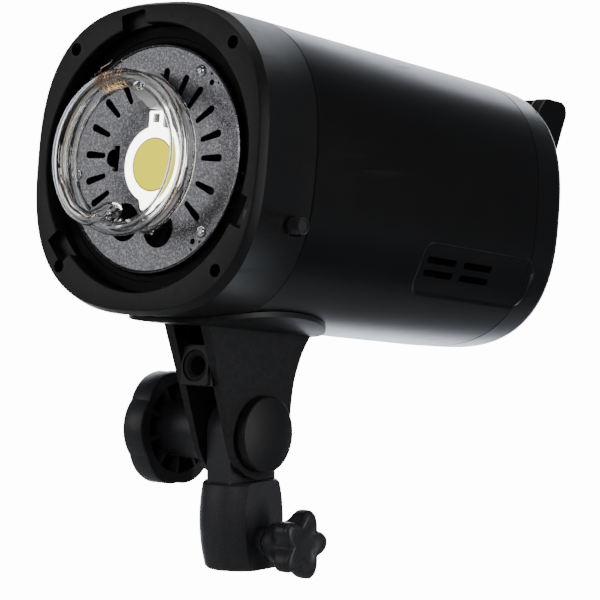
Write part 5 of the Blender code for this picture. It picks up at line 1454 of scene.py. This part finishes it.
    def build_buttons(self) -> None:
        """Four round buttons with a soft rim, two of them carrying an arrow."""
        cap = np.array([(0, 0.0021), (0.0020, 0.0022), (0.0032, 0.0024), (0.0038, 0.0022), (0.0042, 0.0016),
                        (0.0042, -0.0051),
                        (0, -0.0051)])
        arrow = np.array([(-0.0014, -0.0008), (0.0014, -0.0008), (0.0, 0.0012)])
        places = {"up": (-0.0270, -0.0010), "down": (0.0270, -0.0010), "test": (-0.0270, -0.0160),
                  "mode": (0.0270, -0.0160)}
        for name, (x, z) in places.items():
            finish, slot = (Finish.SIGNAL, "signal") if name == "test" else (Finish.RUBBER, "rubber")
            self.place(f"{name}_cap", self.out(turned(cap, 48), x, z), finish, f"{name}_button",
                       (f"button_{name}",), slot)
            if name in ("up", "down"):
                mark = self.flat(arrow * (1, 1 if name == "up" else -1) + (x, z), 0.0021, 0.00235)
                self.place(f"{name}_arrow", mark, Finish.PRINT, f"{name}_button")

    def build_rocker(self) -> None:
        """The rocker with a hollowed face between its raised ends, in a raised frame."""
        half, proud = 0.0090, 0.0034
        rise = np.linspace(0, 1, 12)
        top = np.column_stack((0.0010 + (proud - 0.0010) * rise**1.7, half * rise))
        foot = np.column_stack((0.0010 + 0.0002 * rise**1.7, -half * rise))[::-1]
        side = np.concatenate((foot, top[1:],
                               [(0.0004, half), (-0.0060, half * 0.55), (-0.0060, -half * 0.55),
                                (0.0004, -half)]))
        x, z = self.rocker
        body = prism(side, x - 0.00625, x + 0.00625).laid(Axis.SIDE).moved(y=self.face, z=z)
        made = soften(solid("rocker_key", body, HEAD), 0.0005, 2, 35)
        dress(made, self.shop.of(Finish.SIGNAL), "rocker", ("power_rocker",))
        loops = [rounded_box_outline(0.0185, 0.0240, 0.0016) + self.rocker,
                 rounded_box_outline(0.0143, 0.0198, 0.0010) + self.rocker]
        made = sheet_with_holes("rocker_frame", loops, -self.face - 0.0012, -self.face - 0.0002, Axis.FRONT,
                                HEAD)
        dress(soften(made, 0.0003, 2), self.shop.of(Finish.KNOB), "head", ())

    def build_inlet(self) -> None:
        """The mains inlet: a shell with a flange, a deep recess and three flat blades."""
        rings = []
        for wide, high, corner, rise in (
            (0.0270, 0.0195, 0.0022, -0.0150), (0.0270, 0.0195, 0.0022, 0.0001),
            (0.0310, 0.0235, 0.0034, 0.0003),
            (0.0310, 0.0235, 0.0034, 0.0010), (0.0304, 0.0229, 0.0032, 0.0016),
            (0.0236, 0.0161, 0.0022, 0.0016),
            (0.0232, 0.0157, 0.0020, 0.0012), (0.0232, 0.0157, 0.0020, -0.0126),
        ):
            outline = rounded_box_outline(wide, high, corner) + self.inlet
            rings.append(np.column_stack((outline[:, 0], np.full(len(outline), self.face + rise),
                                          outline[:, 1])))
        self.place("inlet_shell", skin(np.stack(rings)), Finish.PANEL, "head", ("mains_inlet",), "casing")
        blades = Surface(np.zeros((0, 3)))
        for x, z in ((-0.0070, -0.0022), (0.0, 0.0024), (0.0070, -0.0022)):
            at = (self.inlet[0] + x, self.inlet[1] + z)
            blades = blades.joined(self.flat(rounded_box_outline(0.0020, 0.0042, 0.0006) + at, -0.0128,
                                             -0.0026))
        self.place("inlet_blades", blades, Finish.BRASS, "head", (), "brass")

    def build_sockets(self) -> None:
        """The fuse cap, the sync socket and the sensor's dome with its ring."""
        cap = np.array([(0, 0.0060), (0.0052, 0.0060), (0.0059, 0.0057), (0.0062, 0.0050), (0.0062, 0.0003),
                        (0.0048, 0.0003),
                        (0.0048, -0.0090), (0, -0.0090)])
        made = solid("fuse_knob", self.out(turned(cap, 64), *self.fuse), HEAD)
        cut(made, self.flat(rounded_box_outline(0.0094, 0.0016, 0.0006) + self.fuse, 0.0044, 0.0080), HEAD)
        dress(made, self.shop.of(Finish.KNOB), "fuse_holder_cap", ("fuse_cap",))
        sync = np.array([(0.0046, -0.0080), (0.0046, 0.0014), (0.0042, 0.0018), (0.0030, 0.0018),
                         (0.0028, 0.0014),
                         (0.0022, 0.0014), (0.0018, 0.0010), (0.0018, -0.0080)])
        self.place("sync_jack", self.out(turned(sync, 48, True), *self.sync), Finish.BRIGHT, "head",
                   ("sync_socket",), "steel")
        dome = polar(0.0070, np.linspace(90, 0, 14)) * (1, 0.0057 / 0.0070) + (0, 0.0003)
        dome = np.concatenate((dome * (1, 1), [(0.0060, 0.0003), (0.0060, -0.0040), (0, -0.0040)]))
        dome[0, 0] = 0.0
        self.place("sensor_dome", self.out(turned(dome, 48), *self.sensor), Finish.SENSOR, "head",
                   ("slave_sensor",), "sensor", 60)
        ring = np.array([(0.0088, 0.0002), (0.0088, 0.0010), (0.0084, 0.0014), (0.0076, 0.0014),
                         (0.0072, 0.0010), (0.0072, 0.0002)])
        self.place("sensor_ring", self.out(turned(ring, 48, True), *self.sensor), Finish.KNOB, "head", (),
                   "grey_plastic")
        head = np.array([(0, 0.0009), (0.0012, 0.0009), (0.0019, 0.0006), (0.0022, 0.0001),
                         (0.0022, -0.0001), (0, -0.0001)])
        cross = [rounded_box_outline(0.0026, 0.0006, 0.0001, 2),
                 rounded_box_outline(0.0006, 0.0026, 0.0001, 2)]
        for number, (x, z) in enumerate(((-0.0440, 0.0330), (0.0440, 0.0330), (-0.0420, -0.0330),
                                         (0.0455, -0.0270)), 1):
            made = solid(f"panel_screw_{number}", self.out(turned(head, 32), x, z), HEAD)
            for bar in cross:
                cut(made, self.flat(bar + (x, z), 0.0004, 0.002), HEAD)
            dress(made, self.shop.of(Finish.BLACK_STEEL), "head", ())

    def build(self) -> None:
        """Builds and dresses every piece on the panel."""
        self.build_sheet()
        self.build_display()
        self.build_dial()
        self.build_buttons()
        self.build_rocker()
        self.build_inlet()
        self.build_sockets()


# ---------------------------------------------------------------- tilting bracket


@dataclass
class Bracket:
    """The tilting bracket under the head with its bush, cap and tilt knob."""

    shop: Paintshop
    drop: float = 0.0477
    pad_half: tuple[float, float] = (0.0385, 0.0490)
    pad_middle: float = -0.0150
    pad_t: float = 0.0022
    spread: float = 0.0470
    outer: float = 0.0112
    inner: float = 0.0081
    round_r: float = 0.0205
    bush_z: float = 0.0284
    block: tuple[float, float] = (-0.0345, 0.0210)
    bolt_r: float = 0.0044
    cap_x: float = 0.01232
    cap_r: float = 0.0175
    wheel: tuple[float, float] = (0.0369, 0.0495)
    wheel_r: float = 0.0272
    hub_r: float = 0.0135

    def casing_block(self, grown: float) -> Surface:
        """The head's outside grown by an offset, as a plain solid."""
        case = Casing(self.shop)
        turns = np.radians(np.arange(0, 360, 3.0))
        rings = []
        for y in (-0.01, case.seam_front, case.seam_rear, case.length + 0.01):
            w, h = case.size_at(y)
            outline = superellipse(w + grown, h + grown, turns, case.power)
            rings.append(np.column_stack((outline[:, 0], np.full(len(outline), y), outline[:, 1])))
        return skin(np.stack(rings))

    def cheek(self, side: int) -> Surface:
        """One cheek: its outline in side view, the outer face leaning out as it rises."""
        top, line = self.drop + 0.0100, self.drop
        front_turn = 180 + math.degrees(math.atan2(line * 0.42, line))
        rear = smooth_path(np.array([
            (0.0205, 0.0, 0), (0.0200, line * 0.42, 0), (0.0212, line * 0.62, 0), (0.0242, line * 0.82, 0),
            (0.0290, line, 0),
        ]), 6)[1:, :2]
        outline = np.concatenate((
            [(-0.0440, top), (-0.0440, line)], arc((0, 0), self.round_r, front_turn, 360, 40), rear,
            [(0.0290, top)],
        ))
        made = prism(outline, self.inner, self.outer)
        leaning = made.points[:, 2] > (self.inner + self.outer) / 2
        made.points[leaning, 2] += np.maximum(0, made.points[leaning, 1]) * self.spread
        made.points[:, 2] *= side
        return made.laid(Axis.SIDE)

    def build_frame(self) -> None:
        """The pad, two cheeks and the umbrella block as one moulding."""
        pad = superellipse(*self.pad_half, np.radians(np.arange(0, 360, 3.0)), 2.2) + (0.0, self.pad_middle)
        made = solid("bracket_frame", prism(pad, self.drop - self.pad_t - 0.0005, self.drop + 0.0193), PIVOT)
        carve(made, solid("tool", self.casing_block(self.pad_t), HEAD), Join.KEEP)
        for side in (-1, 1):
            add(made, self.cheek(side), PIVOT)
        front, back = self.block
        low, high = self.bush_z - 0.0090, self.drop + 0.0040
        shape = rounded_box_outline(2 * self.inner + 0.002, back - front, 0.0006)
        block = prism(shape + (0, (front + back) / 2), low, high)
        add(made, block, PIVOT)
        cut(made, self.casing_block(0.0003), HEAD)
        cut(made, prism(polar(self.bolt_r, np.arange(0, 360, 7.5)), -0.03, 0.03).laid(Axis.RIGHT), PIVOT)
        cut(made, prism(polar(0.0065, np.arange(0, 360, 6)), -0.05,
                        0.05).laid(Axis.FRONT).moved(z=self.bush_z), PIVOT)
        window = prism(rounded_box_outline(0.0118, 0.0088, 0.0012), 0.0295, 0.05).laid(Axis.FRONT)
        cut(made, window.moved(z=self.bush_z + 0.0136), PIVOT)
        soften(made, 0.0005, 2, 42)
        dress(made, self.shop.of(Finish.BRACKET), "head", ("tilt_bracket",), 35)
        bush = np.array([
            (0.0062, 0.0), (0.0062, 0.0555), (0.0043, 0.0555), (0.0043, 0.0012), (0.0050, 0.0002),
            (0.0056, -0.0004),
            (0.0064, -0.0006), (0.0070, -0.0002),
        ])
        made = solid("umbrella_sleeve",
                     turned(bush, 72, True).laid(Axis.BACK).moved(y=front, z=self.bush_z), PIVOT)
        dress(made, self.shop.of(Finish.RUBBER), "head", ("umbrella_bush",))
        collar = [rounded_box_outline(0.0158, 0.0172, 0.0012), polar(0.0072, np.arange(0, 360, 5))]
        shift = np.array((0.0, self.bush_z - 0.0002))
        made = sheet_with_holes("umbrella_collar", [loop + shift for loop in collar], -front - 0.0001,
                                -front + 0.0011,
                                Axis.FRONT, PIVOT)
        dress(soften(made, 0.0004, 2), self.shop.of(Finish.BRACKET), "head", ())

    def build_cap(self) -> None:
        """The cap on the right cheek: a rim with a domed face."""
        share = np.linspace(0, 0.93, 12)
        crown = np.column_stack((self.cap_r * share, 0.0040 + 0.0022 * (1 - share**2)))
        edge = arc((self.cap_r - 0.0012, 0.0031), 0.0012, 72, 0, 7)
        profile = np.concatenate((crown, edge, [(self.cap_r, 0.0002), (self.cap_r - 0.0003, 0.0), (0, 0)]))
        made = solid("bolt_cap", turned(profile, 120).laid(Axis.RIGHT).moved(x=self.cap_x), PIVOT)
        dress(made, self.shop.of(Finish.BRACKET), "head", ("tilt_cap",), 28)

    def build_knob(self) -> None:
        """The tilt knob: a scalloped wheel, hollow behind, with ribs, and its long hub."""
        near, far = self.wheel
        rows = ((near, 0.0012), (near, 0.0008), (near + 0.0003, 0.0003), (near + 0.0010, 0.0),
                (far - 0.0022, 0.0),
                (far - 0.0010, 0.0005), (far - 0.0003, 0.0014), (far, 0.0026), (far, 0.0058),
                (far - 0.0008, 0.0070),
                (far - 0.0010, 0.0120))
        rings = []
        for x, less in rows:
            shape = lobed(self.wheel_r - less, 0.0016, 6, 0.42, 288, 4.0)
            rings.append(np.column_stack((np.full(len(shape), -x), shape)))
        made = solid("knob_wheel", skin(np.stack(rings)), PIVOT)
        pocket_in, pocket_out = self.hub_r - 0.0005, self.wheel_r - 0.0061
        pockets = Surface(np.zeros((0, 3)))
        for rib in range(10):
            turn = 36.0 * rib
            trims = [math.degrees(0.0009 / r) for r in (pocket_out, pocket_in)]
            loop = np.concatenate((
                arc((0, 0), pocket_out, turn - 18 + trims[0], turn + 18 - trims[0], 12),
                arc((0, 0), pocket_in, turn + 18 - trims[1], turn - 18 + trims[1], 9),
            ))
            pockets = pockets.joined(prism(loop, -near - 0.0084, -near + 0.001).laid(Axis.SIDE))
        cut(made, pockets, PIVOT)
        start = self.outer + 0.0003 + self.spread * self.hub_r
        hub = np.array([(0.0130, start), (self.hub_r, start + 0.0005), (self.hub_r, near + 0.0060),
                        (0.0044, near + 0.0060),
                        (0.0044, start)])
        add(made, turned(hub, 96, True).laid(Axis.LEFT), PIVOT)
        soften(made, 0.0003, 2, 50)
        dress(made, self.shop.of(Finish.KNOB), "tilt_knob_body", ("tilt_knob",), 35)

    def build(self) -> None:
        """Builds and dresses the bracket's pieces."""
        self.build_frame()
        self.build_cap()
        self.build_knob()


# ---------------------------------------------------------------- stand adaptor


@dataclass
class StandAdaptor:
    """The socket that sits on a stand's spigot, its clamp screw and star knob."""

    shop: Paintshop
    bore_r: float = 0.0081
    bore_depth: float = 0.0360
    height: float = 0.0400
    flat: float = 0.0138
    tongue_half: float = 0.0070
    tongue_r: float = 0.0157
    pivot: float = 0.0615
    clamp_z: float = 0.0130

    def build_barrel(self) -> None:
        """The barrel with two flats and the tongue on its top."""
        bow = smooth_path(np.array([
            (0.0176, 0.0388, 0), (0.01872, 0.0312, 0), (0.0192, 0.0208, 0), (0.01836, 0.0096, 0),
            (0.0168, 0.0012, 0),
        ]), 6)[:, :2]
        profile = np.concatenate((
            [(0, self.height), (0.0164, self.height)], bow,
            [(0.0156, 0.0), (self.bore_r + 0.0006, 0.0), (self.bore_r, 0.0006),
            (self.bore_r, self.bore_depth), (0, self.bore_depth)],
        ))
        made = solid("adaptor_barrel", turned(profile, 120))
        box_tool = prism(rounded_box_outline(2 * self.flat, 0.08, 0.0004, 2), -0.02, 0.06)
        carve(made, solid("tool", box_tool), Join.KEEP)
        foot = self.height - 0.0025
        sides = np.concatenate(([(self.tongue_r, foot)], arc((0, self.pivot), self.tongue_r, 0, 180, 40),
                                [(-self.tongue_r, foot)]))
        add(made, prism(sides, -self.tongue_half, self.tongue_half).laid(Axis.SIDE), STAND)
        boss = np.array([(0.0066, 0.0130), (0.0066, 0.0160), (0.0062, 0.0164), (0.0050, 0.0164),
                         (0.0046, 0.0160), (0.0046, 0.0130)])
        add(made, turned(boss, 60, True).laid(Axis.RIGHT).moved(z=self.clamp_z), STAND)
        cut(made, prism(polar(0.0044, np.arange(0, 360, 7.5)), -0.03,
                        0.03).laid(Axis.RIGHT).moved(z=self.pivot), STAND)
        cut(made, prism(polar(0.0032, np.arange(0, 360, 10)), 0.004,
                        0.03).laid(Axis.RIGHT).moved(z=self.clamp_z), STAND)
        soften(made, 0.0006, 3, 34)
        dress(made, self.shop.of(Finish.ADAPTOR), "stand", ("stand_adaptor",), 32)

    def build_star(self) -> None:
        """The star knob: its hub flares into five lobes. Each row is a lobed outline whose
        radius and lobe depth grow along the screw."""
        rows = np.array([
            (19.5, 3.2, 0), (19.5, 7.8, 0), (19.7, 8.5, 0), (20.2, 8.9, 0), (21.2, 9.1, 0),
            (24.0, 9.6, 0.1), (26.0, 10.4, 0.5),
            (27.6, 11.6, 1.4), (28.7, 13.0, 2.6), (29.4, 14.2, 3.8), (30.0, 15.1, 4.6), (30.8, 15.8, 5.2),
            (31.8, 16.1, 5.5),
            (33.0, 16.2, 5.6), (35.8, 16.2, 5.6), (37.0, 15.9, 5.5), (37.9, 15.2, 5.2), (38.5, 14.2, 4.8),
            (38.8, 12.8, 4.2),
            (38.8, 10.0, 3.2), (38.5, 8.0, 1.6), (38.2, 6.6, 0.4), (38.1, 4.0, 0), (38.1, 0.02, 0),
            (30.3, 0.02, 0), (30.3, 3.2, 0),
        ]) / 1000
        rings = []
        for x, radius, depth in rows:
            shape = lobed(radius, depth, 5, 0.75, 240, 0.0)
            rings.append(np.column_stack((np.full(len(shape), x), shape)))
        made = solid("clamp_star", skin(np.stack(rings), ring=True).moved(z=self.clamp_z), weld=0.00001)
        dress(made, self.shop.of(Finish.KNOB), "clamp_knob", ("star_knob",), 50)
        thread = 0.0029 - 0.00022 * (np.arange(88) % 2)
        x = np.linspace(0.0101, 0.0299, 88)
        profile = np.concatenate(([(0, 0.0101)], np.column_stack((thread, x)), [(0, 0.0299)]))
        made = solid("clamp_thread", turned(profile, 40).laid(Axis.RIGHT).moved(z=self.clamp_z))
        dress(made, self.shop.of(Finish.BRIGHT), "clamp_knob", ("clamp_screw",), 80)

    def build(self) -> None:
        """Builds and dresses the adaptor's pieces."""
        self.build_barrel()
        self.build_star()


# ---------------------------------------------------------------- carried-over pieces


@dataclass
class Insides:
    """Finishes for the CAD nodes that are shown as they are."""

    shop: Paintshop
    finishes: tuple[tuple[Finish, tuple[str, ...]], ...] = (
        (Finish.FINS, ("chassis", "led_heat_sink")),
        (Finish.SLEEVE, ("capacitor_left", "capacitor_right")),
        (Finish.BOARD, ("power_board", "control_board")),
        (Finish.COPPER, ("transformer",)),
        (Finish.RUBBER, ("trigger_coil",)),
        (Finish.FACE, ("fan_frame", "fan_rotor")),
        (Finish.STEEL, ("release_spring", "tilt_bolt", "friction_washer_left", "friction_washer_right")),
        (Finish.NICKEL, ("electrode_left", "electrode_right")),
        (Finish.BRASS, ("pressure_pad",)),
    )

    def dress(self) -> None:
        """Puts each node's finish on it."""
        for finish, names in self.finishes:
            for name in names:
                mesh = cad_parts[name].data
                mesh.materials.clear()
                mesh.materials.append(self.shop.of(finish))
                log.info("%s keeps its own shape in %s", name, finish.value.name)


# ---------------------------------------------------------------- studio


@dataclass(frozen=True)
class Lamp:
    """One soft area light aimed at a point."""

    name: str
    place: tuple[float, float, float]
    aim: tuple[float, float, float]
    size: tuple[float, float]
    power: float
    colour: Colour = (1.0, 1.0, 1.0)

    def build(self) -> None:
        """Adds the light to the scene."""
        data = bpy.data.lights.new(self.name, "AREA")
        data.shape = "RECTANGLE"
        data.size, data.size_y = self.size
        data.energy = self.power
        data.color = self.colour
        made = bpy.data.objects.new(self.name, data)
        made.location = self.place
        made.rotation_euler = (Vector(self.aim) - Vector(self.place)).to_track_quat("-Z", "Y").to_euler()
        bpy.context.scene.collection.objects.link(made)
        made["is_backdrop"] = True


@dataclass
class Studio:
    """The pale room: world, floor, soft lights and camera."""

    eye: tuple[float, float, float] = (0.7360, -0.8662, 0.1736)
    azimuth: float = 39.0
    down: float = 2.6
    lens: float = 150.0
    floor_z: float = -0.40
    seen_glow: float = 14.0
    floor_glow: float = 0.06
    lamps: tuple[Lamp, ...] = (
        Lamp("back wall", (-0.75, 0.95, 0.25), (0.0, 0.0, 0.12), (1.5, 1.3), 20.0, (0.86, 0.91, 1.0)),
        Lamp("low back", (-0.50, 0.80, -0.37), (0.0, 0.10, 0.10), (1.3, 0.5), 5.5, (0.80, 0.88, 1.0)),
        Lamp("overhead", (0.05, 0.05, 1.15), (0.0, 0.02, 0.15), (0.8, 0.8), 3.5),
        Lamp("front left", (-0.75, -0.95, 0.40), (0.0, -0.08, 0.18), (0.9, 0.7), 2.8),
        Lamp("by the camera", (0.45, -1.10, 0.55), (0.0, -0.05, 0.10), (0.35, 0.35), 2.4),
        Lamp("right strip", (0.94, 0.26, 0.15), (0.06, -0.08, 0.17), (0.06, 0.7), 3.5),
    )

    def build_world(self) -> None:
        """White to the eye and dim to everything else."""
        world = bpy.data.worlds.new("pale room")
        world.use_nodes = True
        wire = Wiring(world.node_tree)
        world.node_tree.nodes.clear()
        seen = wire.node("Background", None, Color=(1, 1, 1, 1), Strength=self.seen_glow)
        dim = wire.node("Background", None, Color=(0.9, 0.93, 1.0, 1), Strength=0.06)
        path = wire.node("LightPath")
        mixed = wire.node("MixShader", None, in0=path.outputs["Is Camera Ray"], in1=dim.outputs[0],
                          in2=seen.outputs[0])
        wire.node("OutputWorld", None, Surface=mixed.outputs[0])
        bpy.context.scene.world = world

    def build_floor(self) -> None:
        """A broad pale floor below the object that curves up behind it."""
        turn = np.radians(np.linspace(0, 90, 12))
        away = np.concatenate(([-3.0, 0.9], 0.9 + 0.9 * np.sin(turn), [1.8]))
        rise = np.concatenate(([0, 0], 0.9 * (1 - np.cos(turn)), [2.4]))
        side = np.linspace(-3, 3, 5)
        c, s = math.cos(math.radians(self.azimuth)), math.sin(math.radians(self.azimuth))
        grid = np.stack(np.broadcast_arrays(side[None] * c - away[:, None] * s,
                                            side[None] * s + away[:, None] * c,
                                            rise[:, None] + self.floor_z), axis=2)
        rows, columns, _ = grid.shape
        mesh = bpy.data.meshes.new("floor")
        mesh.from_pydata(grid.reshape(-1, 3).tolist(), [], grid_quads(rows, columns, False, False))
        mesh.shade_smooth()
        floor = bpy.data.objects.new("floor", mesh)
        bpy.context.scene.collection.objects.link(floor)
        material, wire, shader = shader_of("pale floor")
        place = wire.node("TexCoord").outputs["Object"]
        noise = wire.node("TexNoise", None, Vector=place, Scale=6.0, Detail=3.0)
        tone = wire.mix(noise.outputs[0], (0.86, 0.86, 0.86, 1), (0.90, 0.90, 0.90, 1))
        wire.tree.links.new(tone, shader.inputs["Base Color"])
        shader.inputs["Roughness"].default_value = 0.9
        shader.inputs["Emission Color"].default_value = (0.78, 0.88, 1.0, 1.0)
        shader.inputs["Emission Strength"].default_value = self.floor_glow
        seen = wire.node("Emission", None, Color=(1, 1, 1, 1), Strength=self.seen_glow)
        path = wire.node("LightPath")
        mixed = wire.node("MixShader", None, in0=path.outputs["Is Camera Ray"], in1=shader.outputs[0],
                          in2=seen.outputs[0])
        out = next(n for n in wire.tree.nodes if n.type == "OUTPUT_MATERIAL")
        wire.tree.links.new(mixed.outputs[0], out.inputs["Surface"])
        mesh.materials.append(material)
        floor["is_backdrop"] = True

    def build_camera(self) -> None:
        """The camera: a long lens from the front right, a little above the lamp's middle."""
        data = bpy.data.cameras.new("camera")
        data.lens, data.sensor_width = self.lens, 36.0
        data.clip_start, data.clip_end = 0.05, 20.0
        made = bpy.data.objects.new("camera", data)
        turn, down = math.radians(self.azimuth), math.radians(self.down)
        ahead = Vector((-math.sin(turn) * math.cos(down), math.cos(turn) * math.cos(down), -math.sin(down)))
        made.location = self.eye
        made.rotation_euler = ahead.to_track_quat("-Z", "Y").to_euler()
        bpy.context.scene.collection.objects.link(made)
        bpy.context.scene.camera = made

    def build(self) -> None:
        """Builds the whole studio."""
        self.build_world()
        self.build_floor()
        for lamp in self.lamps:
            lamp.build()
        self.build_camera()


# ---------------------------------------------------------------- the whole strobe


def corners() -> list[list[float]]:
    """The shown object's lowest and highest corner as plain lists."""
    return [[float(value) for value in corner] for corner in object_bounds()]


def main() -> None:
    """Builds the strobe and its studio."""
    logging.basicConfig(level=logging.INFO, format="%(name)s %(message)s")
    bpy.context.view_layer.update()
    shop = Paintshop()
    for part in (Casing(shop), Throat(shop), RingTube(shop), ReleaseCatch(shop), RearPanel(shop),
                 Bracket(shop),
                 StandAdaptor(shop)):
        part.build()
        log.info("%s is built", type(part).__name__)
    Insides(shop).dress()
    Studio().build()


if __name__ == "__main__":
    main()
